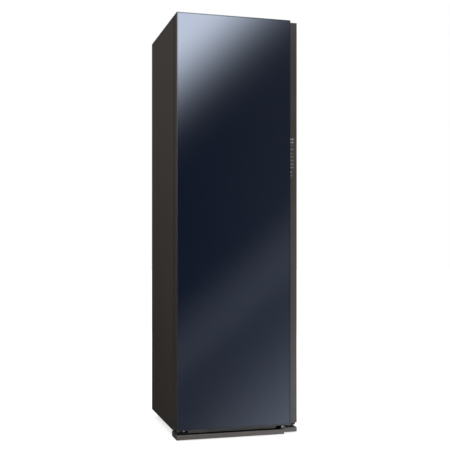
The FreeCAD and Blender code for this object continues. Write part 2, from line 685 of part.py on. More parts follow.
def compressor():
    """A welded can on a footplate with four feet, and its terminal cover."""
    can = upright(COMPRESSOR_RADIUS, COMPRESSOR_X, COMPRESSOR_Y, 48, COMPRESSOR_TOP)
    can = round_edges(can, 18, lambda c, e: c.z > COMPRESSOR_TOP - 1)
    hollow = upright(COMPRESSOR_RADIUS - 4, COMPRESSOR_X, COMPRESSOR_Y, 52, COMPRESSOR_TOP - 24)
    plate = block(COMPRESSOR_X - 75, COMPRESSOR_X + 75, COMPRESSOR_Y - 75, COMPRESSOR_Y + 75,
                  45, 49)
    plate = round_edges(plate, 15, lambda c, e: is_upright(e))
    cover = block(COMPRESSOR_X + 50, COMPRESSOR_X + 84, COMPRESSOR_Y - 22, COMPRESSOR_Y + 22,
                  130, 190)
    feet = [upright(12, COMPRESSOR_X + sx * 58, COMPRESSOR_Y + sy * 58,
                    BASE_BOTTOM + BASE_PLATE, 46) for sx in (-1, 1) for sy in (-1, 1)]
    return fuse_all([can, plate, cover] + feet).cut(hollow)


def coil(x0):
    """A finned heat exchanger: thin plates along the air, with tube bends at one end."""
    y0, y1, z0, z1 = DUCT[2] + 6, DUCT[3] - 20, DUCT[4] + DUCT_WALL, DUCT[5] - 6
    body = block(x0, x0 + COIL_LENGTH, y0, y1, z0, z1)
    gaps = [block(x0 - 1, x0 + COIL_LENGTH - 8, y0 + 5 + 10 * k, y0 + 11 + 10 * k, z0 + 4, z1 - 4)
            for k in range(15)]
    bends = [block(x0 + 14, x0 + 46, y1, y1 + 12, z, z + 9)
             for z in (z0 + 25, z0 + 65, z0 + 105, z0 + 145)]
    bends = [round_edges(bend, 4, lambda c, e: c.y > y1 + 11) for bend in bends]
    return fuse_all([cut_all(body, gaps)] + bends)


def refrigerant_pipes():
    """The copper lines between the compressor and the two coils."""
    top = COMPRESSOR_TOP
    hot = bent_tube([(COMPRESSOR_X + 25, 150, top), (COMPRESSOR_X + 25, 150, 284),
                     (CONDENSER_X + 30, 150, 284), (CONDENSER_X + 30, 150, DUCT[4] + DUCT_WALL)],
                    PIPE_RADIUS, 12)
    cold = bent_tube([(COMPRESSOR_X + 25, 90, top), (COMPRESSOR_X + 25, 90, 270),
                      (EVAPORATOR_X + 30, 90, 270), (EVAPORATOR_X + 30, 90, DUCT[4] + DUCT_WALL)],
                     PIPE_RADIUS, 9)
    return Part.makeCompound([hot, cold])


def blower_scroll():
    """The duct's round fan casing, with an eye in front and a mouth up to the outlet."""
    body = block(125, DUCT[1] - 1, 60, 126, DUCT[4] + 1, DUCT[5] - 1)
    chamber = rod(BLOWER_RADIUS + 5, (BLOWER_X, 63, BLOWER_Z), (0, 1, 0), 60)
    eye = rod(BLOWER_RADIUS - 16, (BLOWER_X, 55, BLOWER_Z), (0, 1, 0), 10)
    shaft_hole = rod(SHAFT + 2, (BLOWER_X, 120, BLOWER_Z), (0, 1, 0), 10)
    mouth = block(BLOWER_X - 60, BLOWER_X + 40, 63, 123, BLOWER_Z, DUCT[5])
    return cut_all(body, [chamber, eye, shaft_hole, mouth])


def air_duct():
    """The open-topped duct under the chamber floor, with the blower's scroll moulded in."""
    duct = open_box(DUCT, DUCT_WALL, ["top"]).fuse(blower_scroll()).removeSplitter()
    holes = [rod(SHAFT + 2, (BLOWER_X, DUCT[3] - 5, BLOWER_Z), (0, 1, 0), 10),
             upright(PIPE_RADIUS + 1, CONDENSER_X + 30, 150, DUCT[4] - 1, DUCT[4] + 4),
             upright(PIPE_RADIUS + 1, EVAPORATOR_X + 30, 90, DUCT[4] - 1, DUCT[4] + 4),
             upright(HOSE_RADIUS - 1, 45, 100, DUCT[4] - 1, DUCT[4] + 4)]
    return cut_all(duct, holes)


def blower_motor():
    """The blower's motor behind the duct, with its shaft running forward into the wheel."""
    can = rod(36, (BLOWER_X, DUCT[3], BLOWER_Z), (0, 1, 0), 60)
    can = round_edges(can, 5, lambda c, e: c.y > DUCT[3] + 59)
    shaft = rod(SHAFT, (BLOWER_X, 76, BLOWER_Z), (0, 1, 0), DUCT[3] - 75)
    return can.fuse(shaft).removeSplitter()


def blower_impeller():
    """The blower's wheel, turned to face forward."""
    wheel = impeller(BLOWER_RADIUS, 42, 20)
    wheel.rotate(Vector(0, 0, 0), Vector(1, 0, 0), -90)
    wheel.translate(Vector(BLOWER_X, 74, BLOWER_Z))
    return wheel


def control_box():
    """The sheet steel box round the power electronics."""
    return open_box((110, 240, 90, 262, BASE_BOTTOM + BASE_PLATE, 235), 1.5, ["left"])


def power_board():
    """The power board on its standoffs, with its larger parts."""
    foot = BASE_BOTTOM + BASE_PLATE + 1.5
    board = block(125, 232, 100, 252, 48, 50)
    posts = [upright(4, x, y, foot, 48.5) for x in (132, 225) for y in (107, 245)]
    parts = [block(140, 178, 115, 155, 50, 90), block(188, 222, 120, 150, 50, 74),
             block(140, 164, 170, 238, 50, 80)]
    parts += [upright(9, 204, y, 49.5, 82) for y in (175, 200, 225)]
    return fuse_all([board] + posts + parts)


def cable_gland():
    """The empty mains cable gland in the back panel."""
    outside = BACK - REAR_INSIDE - SHEET
    flange = rod(16, (GLAND_X, REAR_INSIDE + SHEET, GLAND_Z), (0, 1, 0), outside)
    barrel = rod(GLAND_RADIUS - 0.2, (GLAND_X, REAR_INSIDE - 16, GLAND_Z), (0, 1, 0), 18)
    nut = rod(15, (GLAND_X, REAR_INSIDE - 7, GLAND_Z), (0, 1, 0), 7)
    bore = rod(4.5, (GLAND_X, REAR_INSIDE - 20, GLAND_Z), (0, 1, 0), 40)
    return fuse_all([flange, barrel, nut]).cut(bore)


# ---- door ----
def door_trim():
    """The thin metal frame round the glass."""
    outer = block(LEFT, LEFT + GLASS_WIDTH, FRONT, FRONT + TRIM_DEPTH, DOOR_BOTTOM, DOOR_TOP)
    outer = round_edges(outer, 1.2, lambda c, e: c.y < FRONT + 1)
    seat = block(LEFT + TRIM_FACE, LEFT + GLASS_WIDTH - TRIM_FACE, FRONT - 1,
                 FRONT + GLASS_THICKNESS + 1, DOOR_BOTTOM + TRIM_FACE, DOOR_TOP - TRIM_FACE)
    window = block(LEFT + 12, LEFT + GLASS_WIDTH - 12, FRONT - 1, FRONT + TRIM_DEPTH + 1,
                   DOOR_BOTTOM + 12, DOOR_TOP - 12)
    return cut_all(outer, [seat, window])


def door_glass():
    """The tinted mirror glass."""
    gap = TRIM_FACE + 0.2
    return block(LEFT + gap, LEFT + GLASS_WIDTH - gap, FRONT + 0.6,
                 FRONT + 0.6 + GLASS_THICKNESS, DOOR_BOTTOM + gap, DOOR_TOP - gap)


def door_plan(inset, back):
    """The door shell in plan, drawn in by an inset on every side but the back."""
    front = FRONT + TRIM_DEPTH + inset
    step = FRONT + STRIP_SETBACK + STRIP_THICKNESS + inset
    grip = LEFT + GRIP_WALL - inset
    edge = RIGHT - STRIP_THICKNESS - inset
    return [(LEFT + inset, front), (grip, front), (grip, step), (edge, step), (edge, back),
            (LEFT + inset, back)]


def door_shell():
    """The door's outer pan: it steps back beside the glass, so fingers reach behind its edge."""
    back = FRONT + DOOR_THICKNESS
    pan = prism(door_plan(0, back), DOOR_BOTTOM, DOOR_TOP)
    pan = round_edges(pan, 1.2, lambda c, e: is_upright(e) and c.y > back - 1 and c.x < 0)
    hollow = prism(door_plan(SHELL, back + 1), DOOR_BOTTOM + SHELL, DOOR_TOP - SHELL)
    bush_holes = [upright(BUSH_RADIUS, PIVOT_X, PIVOT_Y, DOOR_BOTTOM - 1, DOOR_BOTTOM + 5),
                  upright(BUSH_RADIUS, PIVOT_X, PIVOT_Y, DOOR_TOP - 5, DOOR_TOP + 1)]
    return cut_all(pan, [hollow] + bush_holes)


def door_liner():
    """The inner panel set into the pan: a shallow field, and a deep recess before the tanks."""
    back = FRONT + DOOR_THICKNESS
    panel = block(LEFT + SHELL, RIGHT - STRIP_THICKNESS - SHELL, FRONT + LINER_FRONT, back,
                  DOOR_BOTTOM + SHELL, DOOR_TOP - SHELL)
    recesses = [(223.0, BAY_FLOOR - 4, BAY_TOP + 4, 40.0),
                (240.0, CHAMBER_FLOOR + 15, CHAMBER_CEILING - 15, 9.0)]
    for half, z0, z1, depth in recesses:
        shell = block(-half - SHELL, half + SHELL, back - depth - SHELL, back, z0 - SHELL,
                      z1 + SHELL)
        hollow = block(-half, half, back - depth, back + 1, z0, z1)
        panel = panel.fuse(shell).cut(hollow)
    return panel.removeSplitter()


def door_insulation():
    """The foam board between the pan and the liner."""
    return block(LEFT + 32, LEFT + GRIP_WALL - 6, FRONT + TRIM_DEPTH + SHELL + 0.5,
                 FRONT + TRIM_DEPTH + SHELL + 22.5, BAY_TOP + 20, DOOR_TOP - 30)


def door_gasket():
    """The rubber seal on the liner, round both mouths."""
    y0 = FRONT + DOOR_THICKNESS
    y1 = CASE_FRONT - LOOSE
    outer = block(LEFT + 22, RIGHT - 22, y0, y1, DOOR_BOTTOM + 12, DOOR_TOP - 12)
    outer = round_edges(outer, 10, lambda c, e: abs(c.y - (y0 + y1) / 2) < 1 and not
                        is_upright(e) and e.Length < 20)
    inner = block(LEFT + 34, RIGHT - 34, y0 - 1, y1 + 1, DOOR_BOTTOM + 24, DOOR_TOP - 24)
    return outer.cut(inner)


def control_strip():
    """The moulded strip with the touch keys, set back from the glass and round at its edge."""
    y0 = FRONT + STRIP_SETBACK
    y1 = FRONT + DOOR_THICKNESS
    outer = block(LEFT + GRIP_WALL, RIGHT, y0, y1, DOOR_BOTTOM, DOOR_TOP)
    for radius, y in ((STRIP_CORNER, y0), (1.2, y1)):
        outer = round_edges(outer, radius, lambda c, e: is_upright(e) and c.x > RIGHT - 1
                            and abs(c.y - y) < 1)
    inner = block(LEFT + GRIP_WALL - 1, RIGHT - STRIP_THICKNESS, y0 + STRIP_THICKNESS, BACK,
                  DOOR_BOTTOM - 1, DOOR_TOP + 1)
    return outer.cut(inner)


def touch_board():
    """The touch and display board behind the strip."""
    y0 = FRONT + STRIP_SETBACK + STRIP_THICKNESS + SHELL + 0.3
    return block(RIGHT - 48, RIGHT - 8, y0, y0 + 2, 1180, 1440)


def door_hinge_bushes():
    """The nylon bushes pressed into the door's two left corners."""
    lower = upright(BUSH_RADIUS, PIVOT_X, PIVOT_Y, 36 + LOOSE, DOOR_BOTTOM + BUSH_LENGTH)
    upper = upright(BUSH_RADIUS, PIVOT_X, PIVOT_Y, DOOR_TOP - BUSH_LENGTH, DOOR_TOP)
    bore = upright(PIN_RADIUS + RUNNING, PIVOT_X, PIVOT_Y, 0, HEIGHT + 1)
    return Part.makeCompound([lower.cut(bore), upper.cut(bore)])


def build_pieces():
    """Every node of the cabinet by name."""
    pieces = {
        "side_panel_left": side_panel_left(), "side_panel_right": side_panel_right(),
        "top_panel": top_panel(), "rear_panel": rear_panel(), "casing_screws": casing_screws(),
        "base_frame": base_frame(), "plinth_cover": plinth_cover(),
        "hinge_upper_bracket": hinge_upper_bracket(),
        "hinge_lower_bracket": hinge_lower_bracket(), "hinge_pins": hinge_pins(),
        "front_frame": front_frame(), "chamber_liner": chamber_liner(),
        "chamber_floor": chamber_floor(), "chamber_ceiling": chamber_ceiling(),
        "felt_pads": felt_pads(), "lamp_lens": lamp_lens(),
        "air_unit_housing": air_unit_housing(), "top_fan_motor": top_fan_motor(),
        "top_fan_impeller": top_fan_impeller(), "air_nozzle_bar": air_nozzle_bar(),
        "hanger_rail": hanger_rail(), "accessory_shelf": accessory_shelf(),
        "dust_filter_frame": dust_filter_frame(), "dust_filter_mesh": dust_filter_mesh(),
        "air_outlet_grille": air_outlet_grille(), "steam_nozzle": steam_nozzle(),
        "tank_bay": tank_bay(), "supply_tank": tank_shell(),
        "supply_tank_lid": tank_lid_shape(), "drain_tank": mirrored(tank_shell()),
        "drain_tank_lid": mirrored(tank_lid_shape()), "steam_generator": steam_generator(),
        "water_pumps": water_pumps(), "water_hoses": water_hoses(),
        "compressor": compressor(),
        "evaporator": coil(EVAPORATOR_X), "condenser": coil(CONDENSER_X),
        "refrigerant_pipes": refrigerant_pipes(), "air_duct": air_duct(),
        "blower_motor": blower_motor(),
        "blower_impeller": blower_impeller(), "control_box": control_box(),
        "power_board": power_board(), "cable_gland": cable_gland(),
        "door_trim": door_trim(), "door_glass": door_glass(), "door_shell": door_shell(),
        "door_liner": door_liner(), "door_insulation": door_insulation(),
        "door_gasket": door_gasket(), "control_strip": control_strip(),
        "touch_board": touch_board(), "door_hinge_bushes": door_hinge_bushes(),
    }
    for name, (x, y) in foot_places().items():
        pieces[name] = levelling_foot(x, y)
    for name, x in (("hanger_left", -HANGER_PITCH), ("hanger_middle", 0.0),
                    ("hanger_right", HANGER_PITCH)):
        pieces[name] = hanger(x)
    return pieces


def main():
    """Write one STEP file for each node."""
    os.makedirs("parts", exist_ok=True)
    for name, shape in build_pieces().items():
        if not shape.isValid():
            print("not valid:", name)
        print(f"{name}: {len(shape.Solids)} solid(s), {shape.Volume / 1000:.1f} cm3")
        shape.exportStep(f"parts/{name}.step")


main()
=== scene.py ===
# %% [markdown]
# # A steam cabinet for clothes
# The construction arrives ready made: every sheet, pin and tank of the cabinet is already a mesh
# in its true place, in metres. What is left for Blender is how things look, so this lesson has
# four parts: a camera, a finish for each material, some pieces whose shape is finer than the
# construction needs, and a studio round it all. Nothing of the construction is moved, because it
# also has to work.

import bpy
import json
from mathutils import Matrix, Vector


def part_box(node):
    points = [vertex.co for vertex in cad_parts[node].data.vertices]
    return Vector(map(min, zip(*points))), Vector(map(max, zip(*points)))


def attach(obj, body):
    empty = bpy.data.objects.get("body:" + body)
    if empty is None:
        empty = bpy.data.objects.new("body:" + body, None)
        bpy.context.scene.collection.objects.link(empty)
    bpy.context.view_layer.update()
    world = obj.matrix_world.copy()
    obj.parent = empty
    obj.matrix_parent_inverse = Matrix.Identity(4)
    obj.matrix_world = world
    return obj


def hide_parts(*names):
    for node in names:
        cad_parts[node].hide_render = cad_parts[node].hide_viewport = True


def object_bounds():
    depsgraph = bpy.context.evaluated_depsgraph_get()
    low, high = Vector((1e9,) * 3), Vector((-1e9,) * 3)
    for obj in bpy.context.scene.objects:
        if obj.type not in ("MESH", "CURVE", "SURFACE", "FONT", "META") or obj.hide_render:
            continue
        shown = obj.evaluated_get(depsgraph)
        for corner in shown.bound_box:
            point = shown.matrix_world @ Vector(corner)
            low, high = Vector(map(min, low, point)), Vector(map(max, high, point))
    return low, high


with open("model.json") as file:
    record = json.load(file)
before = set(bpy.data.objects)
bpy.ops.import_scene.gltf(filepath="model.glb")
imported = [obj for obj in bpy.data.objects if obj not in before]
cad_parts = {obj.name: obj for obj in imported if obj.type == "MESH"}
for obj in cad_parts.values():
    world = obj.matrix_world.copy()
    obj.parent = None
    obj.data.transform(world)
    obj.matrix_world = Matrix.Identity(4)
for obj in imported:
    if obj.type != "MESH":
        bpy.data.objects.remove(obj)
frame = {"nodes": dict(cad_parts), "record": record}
cad_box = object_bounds()
print("pieces of construction:", len(frame["nodes"]))
print("size in metres:", [round(high - low, 4) for low, high in zip(*cad_box)])

# %% Modules
import json
import math

import bmesh
import bpy
import numpy as np

MM = 0.001

# %% [markdown]
# ## The camera
# A lens shift does what an architect's camera does: the camera stays level, so the uprights of a
# tall thing stay parallel, and the picture is slid up or down instead of the camera being tilted.
# The camera stands to the left of the cabinet at about chest height and looks a little to the
# right.

# %% Camera
CAMERA_PLACE = (-1.08986, -4.01449, 0.87314)
CAMERA_TURN = math.radians(-15.4009)
CAMERA_LENS = 66.458
CAMERA_SHIFT = 0.05461
LEVEL = math.radians(90)
SENSOR_WIDTH = 36.0

camera = bpy.data.objects.new("camera", bpy.data.cameras.new("camera"))
bpy.context.scene.collection.objects.link(camera)
camera.location = CAMERA_PLACE
camera.rotation_euler = (LEVEL, 0, CAMERA_TURN)
camera.data.sensor_width = SENSOR_WIDTH
camera.data.lens = CAMERA_LENS
camera.data.shift_y = CAMERA_SHIFT
bpy.context.scene.camera = camera
print("camera at", CAMERA_PLACE, "lens", CAMERA_LENS)

# %% [markdown]
# ## How a finish is made
# A finish is one shader with three things fed into it: a colour that drifts a little between a
# dark and a light tone, a roughness that drifts with it, and a fine relief. They come from a
# height pattern that is worked out at each point of the object, so no picture has to be wrapped
# round it. Numbers that are the same all over, such as how strongly a plastic mirrors, are
# written straight into the shader.

# %% Node helper
def add_node(tree, kind, inputs=None, **settings):
    """Add a node, set its options, and fill its sockets with numbers or with links."""
    node = tree.nodes.new("ShaderNode" + kind)
    for name, value in settings.items():
        setattr(node, name, value)
    for socket, value in (inputs or {}).items():
        if isinstance(value, bpy.types.NodeSocket):
            tree.links.new(value, node.inputs[socket])
        else:
            node.inputs[socket].default_value = value
    return node


def calculate(tree, operation, first, second=0.0, third=0.0):
    """One step of arithmetic between sockets or numbers."""
    inputs = {0: first, 1: second, 2: third}
    return add_node(tree, "Math", inputs, operation=operation).outputs[0]


# %% [markdown]
# ## The height patterns
# Rolled steel has long hairlines, moulded plastic has an even grain, zinc freezes into flat
# crystals, turned metal keeps its tool marks as rings, and cloth is crossed threads. Each is a
# short recipe that takes a place and gives a height between 0 and 1.

# %% Grain and crystals
def noise_grain(x, y, z, detail=3.0):
    """Noise whose grains are 1/x, 1/y and 1/z metres long."""
    def pattern(tree, place):
        scaled = add_node(tree, "Mapping", {"Vector": place, "Scale": (x, y, z)})
        noise = add_node(tree, "TexNoise", {"Vector": scaled.outputs[0], "Scale": 1.0,
                                            "Detail": detail})
        return noise.outputs[0]
    return pattern


def zinc_crystals(size):
    """Cells of one random height each, as the crystals of a zinc coat are."""
    def pattern(tree, place):
        cells = add_node(tree, "TexVoronoi", {"Vector": place, "Scale": 1 / size})
        return add_node(tree, "RGBToBW", {"Color": cells.outputs["Color"]}).outputs[0]
    return pattern


# %% Threads and ridges
WAVE_LENGTH = 0.314  # how long one wave of the wave texture is at a scale of 1


def crossed_threads(pitch):
    """Two sets of sine ridges at right angles, each a thread wide, added half and half."""
    def pattern(tree, place):
        heights = []
        for direction in "XZ":
            wave = add_node(tree, "TexWave", {"Vector": place, "Scale": WAVE_LENGTH / pitch,
                                              "Distortion": 0.6}, bands_direction=direction)
            heights.append(wave.outputs["Fac"])
        return calculate(tree, "MULTIPLY_ADD", heights[0], 0.5,
                         calculate(tree, "MULTIPLY", heights[1], 0.5))
    return pattern


def ridges(pitch, direction):
    """Parallel ridges one pitch apart, such as fins or copper tracks, a little unsteady."""
    def pattern(tree, place):
        wave = add_node(tree, "TexWave", {"Vector": place, "Scale": WAVE_LENGTH / pitch,
                                          "Distortion": 0.4, "Detail": 1.0},
                        bands_direction=direction)
        return wave.outputs["Fac"]
    return pattern


# %% [markdown]
# ## One function for every finish
# Soft clouds are mixed with the fine pattern, because a real surface differs both from point to
# point and from one end to the other. The mix mostly stays in the middle of its range, and that
# middle is stretched over the whole way from the dark tone to the light one. A Bevel node bends
# the light at sharp edges as a small rounding would.

# %% Finish maker
FINISHES = {}
LIGHT_TONE = 1.12
DARK_TONE = 0.88
MIX_LOW = 0.3
MIX_HIGH = 0.7
CLOUD_DETAIL = 4.0
RELIEF_STRENGTH = 0.6
EDGE_SAMPLES = 4


def make_finish(name, colour, roughness, pattern, relief_mm=0.02, edge_mm=0.5, drift=1.0,
                cloud=5.0, **constants):
    """Tone and roughness = pattern and clouds, half and half; relief = the pattern alone.

    The dark and light tones are 1 + (tone - 1) x drift times the colour.
    """
    material = bpy.data.materials.new(name)
    material.use_nodes = True
    tree = material.node_tree
    shader = tree.nodes["Principled BSDF"]
    place = add_node(tree, "TexCoord").outputs["Object"]
    height = pattern(tree, place)
    clouds = add_node(tree, "TexNoise", {"Vector": place, "Scale": cloud,
                                         "Detail": CLOUD_DETAIL}).outputs[0]
    mix = calculate(tree, "MULTIPLY_ADD", height, 0.5, calculate(tree, "MULTIPLY", clouds, 0.5))
    ramp = add_node(tree, "ValToRGB", {"Fac": mix})
    dark = 1 + (DARK_TONE - 1) * drift
    light = 1 + (LIGHT_TONE - 1) * drift
    stops = zip(ramp.color_ramp.elements, (dark, light), (MIX_LOW, MIX_HIGH))
    for stop, tone, position in stops:
        stop.position = position
        stop.color = [min(1.0, channel * tone) for channel in colour] + [1.0]
    tree.links.new(ramp.outputs["Color"], shader.inputs["Base Color"])
    low, high = roughness
    spread = add_node(tree, "MapRange", {"Value": mix, "From Min": MIX_LOW, "From Max": MIX_HIGH,
                                         "To Min": low, "To Max": high})
    tree.links.new(spread.outputs[0], shader.inputs["Roughness"])
    soft_edge = add_node(tree, "Bevel", {"Radius": edge_mm * MM}, samples=EDGE_SAMPLES)
    bump = add_node(tree, "Bump", {"Strength": RELIEF_STRENGTH, "Distance": relief_mm * MM,
                                   "Height": height, "Normal": soft_edge.outputs[0]})
    tree.links.new(bump.outputs[0], shader.inputs["Normal"])
    for socket, value in constants.items():
        shader.inputs[socket.replace("_", " ")].default_value = value
    FINISHES[name] = material


# %% [markdown]
# ## Sheet metal
# The case is dark pre-painted steel. Its satin coat shows long upright hairlines from rolling, so
# the noise is stretched along Z. The back and the power box stay in bare zinc, with crystals about
# a centimetre across. Enamel on the machine parts is smooth and nearly black. Colours are written
# as linear red, green and blue, and a roughness as its lowest and highest value.

# %% Metal finishes
make_finish("case_paint", (0.0325, 0.0262, 0.0218), (0.36, 0.44), noise_grain(900, 900, 9),
            relief_mm=0.015, drift=0.5, Specular_IOR_Level=0.35)
# The base tray's colour is painted light: it is lighter than the case to stand in for light on the
# lip under the door.
make_finish("base_painted_light", (0.078, 0.076, 0.077), (0.40, 0.50), noise_grain(260, 260, 260),
            relief_mm=0.02)
make_finish("galvanised_steel", (0.38, 0.385, 0.38), (0.36, 0.52), zinc_crystals(0.011),
            relief_mm=0.01, drift=0.9, Metallic=0.35)
make_finish("bright_steel", (0.62, 0.62, 0.62), (0.16, 0.30), noise_grain(250, 250, 2500),
            relief_mm=0.008, edge_mm=0.2, Metallic=1.0)
make_finish("motor_steel", (0.42, 0.42, 0.41), (0.30, 0.46), noise_grain(300, 300, 1800),
            relief_mm=0.01, edge_mm=0.4, Metallic=1.0)
make_finish("black_enamel", (0.016, 0.016, 0.017), (0.28, 0.42), noise_grain(260, 260, 260),
            relief_mm=0.03)
make_finish("plate_paint", (0.112, 0.106, 0.106), (0.36, 0.46), noise_grain(260, 260, 260),
            relief_mm=0.02)
# The lower hinge bracket's near black is painted shade: it stands in for the shade under the door
# at the hinge.
make_finish("painted_shade_black", (0.006, 0.006, 0.006), (0.60, 0.75), noise_grain(400, 400, 400),
            relief_mm=0.03, Specular_IOR_Level=0.15)
make_finish("aluminium_fins", (0.62, 0.62, 0.63), (0.30, 0.45), ridges(0.0018, "Y"),
            relief_mm=0.25, Metallic=1.0)
make_finish("copper_line", (0.66, 0.30, 0.17), (0.24, 0.44), noise_grain(90, 90, 90, 6.0),
            relief_mm=0.02, drift=2.2, cloud=22.0, Metallic=1.0)
print("metal finishes:", sorted(FINISHES))

# %% [markdown]
# ## The glass door
# The door's glass is tinted dark blue and has a thin mirror coat. Seen straight on, a coat like
# this sends back about a tenth of the light, which is what a refractive index near 1.9 gives. The
# relief is about a hundredth of a millimetre over a third of a metre: tempered glass is never
# quite flat. The metal line round it is dark anodised aluminium, which mirrors a little less
# strongly and less sharply, so it draws a thin dark outline round the glass.

# %% Glass and trim
GLASS_INDEX = 1.9
TRIM_INDEX = 1.8
make_finish("mirror_glass", (0.0068, 0.0106, 0.0215), (0.045, 0.06), noise_grain(3, 3, 3, 1.0),
            relief_mm=0.02, edge_mm=0.1, drift=0.3, cloud=1.5, IOR=GLASS_INDEX)
make_finish("trim_metal", (0.012, 0.013, 0.015), (0.06, 0.10), noise_grain(1500, 1500, 20),
            relief_mm=0.006, edge_mm=0.4, drift=0.6, IOR=TRIM_INDEX)
mirrored = [((index - 1) / (index + 1)) ** 2 for index in (GLASS_INDEX, TRIM_INDEX)]
print("share of light that glass and trim send back:", [round(share, 3) for share in mirrored])

# %% [markdown]
# ## Moulded plastics
# Moulded plastic takes its grain from the mould: an even, fine pebbling about half a millimetre
# across. The outside parts are warm dark greys, and the two that were polished in the mould, the
# plinth and the key strip, are glossier and have fine lines in place of the grain. The chamber is
# lined in a pale warm white so that clothes are easy to see, and the machine parts are dark.

# %% Plastic finishes
EVEN_GRAIN = noise_grain(1900, 1900, 1900, 2.0)
make_finish("top_plastic", (0.036, 0.033, 0.030), (0.50, 0.62), EVEN_GRAIN, relief_mm=0.05)
make_finish("plinth_plastic", (0.094, 0.084, 0.075), (0.16, 0.22), noise_grain(60, 60, 1400),
            relief_mm=0.012, edge_mm=1.0, drift=0.8)
make_finish("door_plastic", (0.029, 0.0285, 0.0265), (0.34, 0.44), EVEN_GRAIN, relief_mm=0.03,
            edge_mm=0.8, drift=0.7, Specular_IOR_Level=0.35)
make_finish("strip_plastic", (0.063, 0.058, 0.052), (0.10, 0.14), noise_grain(1600, 1600, 14),
            relief_mm=0.006, edge_mm=0.5, drift=0.7)
make_finish("liner_plastic", (0.60, 0.59, 0.57), (0.36, 0.48), EVEN_GRAIN, relief_mm=0.04,
            edge_mm=1.4, drift=0.35)
make_finish("dark_plastic", (0.045, 0.045, 0.048), (0.40, 0.54), EVEN_GRAIN, relief_mm=0.05,
            edge_mm=0.8)
make_finish("lid_plastic", (0.18, 0.19, 0.21), (0.38, 0.5), EVEN_GRAIN, relief_mm=0.04,
            edge_mm=0.8)
make_finish("tank_plastic", (0.52, 0.62, 0.70), (0.07, 0.14), noise_grain(30, 30, 30),
            relief_mm=0.04, edge_mm=0.8, drift=0.5, Transmission_Weight=0.8, IOR=1.5)
make_finish("frosted_plastic", (0.85, 0.85, 0.82), (0.42, 0.55), noise_grain(700, 700, 700),
            relief_mm=0.03, drift=0.3, Transmission_Weight=0.35)
make_finish("nylon", (0.028, 0.028, 0.029), (0.40, 0.52), noise_grain(400, 400, 400),
            relief_mm=0.03)
print("finishes so far:", len(FINISHES))

# %% [markdown]
# ## Rubber, felt, foam, boards and ink
# Soft things scatter light from a rough, fibrous skin, and a little sheen stands for fibres that
# catch light at the edges. The circuit boards are green lacquer over parallel copper tracks. The
# touch keys' marks are pale ink. The two lit ones are painted brighter, a painted glow that stands
# in for a lamp shining through them, because no lamp is there.

# %% Soft finishes
make_finish("rubber_seal", (0.024, 0.024, 0.025), (0.62, 0.74), noise_grain(500, 500, 500),
            relief_mm=0.04, edge_mm=0.3)
# The seam beads' near-black, glossless colour is painted shade in the door seam.
make_finish("seam_painted_shade", (0.004, 0.004, 0.004), (0.85, 0.95), noise_grain(900, 900, 900),
            relief_mm=0.03, edge_mm=0.3, Specular_IOR_Level=0.0)
make_finish("hose_rubber", (0.045, 0.045, 0.048), (0.55, 0.68), ridges(0.004, "Z"),
            relief_mm=0.3)
make_finish("felt", (0.11, 0.11, 0.115), (0.85, 0.95), noise_grain(420, 420, 420, 8.0),
            relief_mm=0.8, drift=2.5, Sheen_Weight=0.3)
make_finish("foam_board", (0.78, 0.78, 0.74), (0.72, 0.85), zinc_crystals(0.0035),
            relief_mm=0.35, drift=0.6)
make_finish("lint_mesh", (0.46, 0.51, 0.56), (0.60, 0.75), crossed_threads(0.0012),
            relief_mm=0.3, drift=2.0, Sheen_Weight=0.2)
make_finish("board_green", (0.028, 0.15, 0.065), (0.28, 0.42), ridges(0.0025, "Y"),
            relief_mm=0.05, drift=2.5, Coat_Weight=0.4)
# The lit marks' bright colour is a painted glow that stands in for a backlight.
make_finish("key_mark_painted_glow", (0.62, 0.60, 0.57), (0.40, 0.50), noise_grain(900, 900, 900),
            relief_mm=0.01, drift=0.3)
make_finish("key_mark_printed", (0.27, 0.25, 0.24), (0.45, 0.55), noise_grain(900, 900, 900),
            relief_mm=0.01, drift=0.5)
print("finishes in all:", len(FINISHES))

# %% [markdown]
# ## Dressing the construction
# The imported record says which finish each piece of construction has, so the finishes are handed
# out by name in one loop. Two pieces have a finish of their own. The base tray's paint is made
# lighter than the case's, which is painted light that shows as a pale line under the door. The
# lower hinge's bracket is painted matt black, which is painted shade that keeps it unseen there.

# %% Hand out the finishes
PAINTED_LIGHT_FINISH = {"base_frame": "base_painted_light", "hinge_lower_bracket": "painted_shade_black"}
for part in frame["record"]["subparts"]:
    mesh = frame["nodes"][part["node"]].data
    if not mesh.materials:
        mesh.materials.append(None)
    for place in range(len(mesh.materials)):
        mesh.materials[place] = FINISHES[PAINTED_LIGHT_FINISH.get(part["node"], part["material_slot"])]

# %% [markdown]
# ## How a surface is worked out
# A new piece is a grid of points: rows by columns, worked out as whole arrays. The faces only say
# which four neighbours belong together, so one function numbers them for every shape. Most pieces
# here are a profile carried round a rounded rectangle, which covers a sheet of glass, a door seal
# and, with the corners as large as they go, a disc.

# %% Faces of a grid
def grid_faces(rows, columns, wrap_rows=False, wrap_columns=False):
    """The corner numbers of each cell: (r, c), (r, c + 1), (r + 1, c + 1), (r + 1, c)."""
    r, c = np.meshgrid(np.arange(rows if wrap_rows else rows - 1),
                       np.arange(columns if wrap_columns else columns - 1), indexing="ij")
    below = (r + 1) % rows
    right = (c + 1) % columns
    corners = [r * columns + c, r * columns + right, below * columns + right, below * columns + c]
    return np.stack(corners, -1).reshape(-1, 4).tolist()


def join_shapes(shapes):
    """Several shapes as one: the points in a row, with each shape's faces counted on."""
    points = []
    faces = []
    for some_points, some_faces in shapes:
        start = sum(len(block) for block in points)
        points.append(some_points)
        faces += [[start + corner for corner in face] for face in some_faces]
    return np.concatenate(points), faces


# %% Profile carried round
SMALLEST_RADIUS = 1e-5


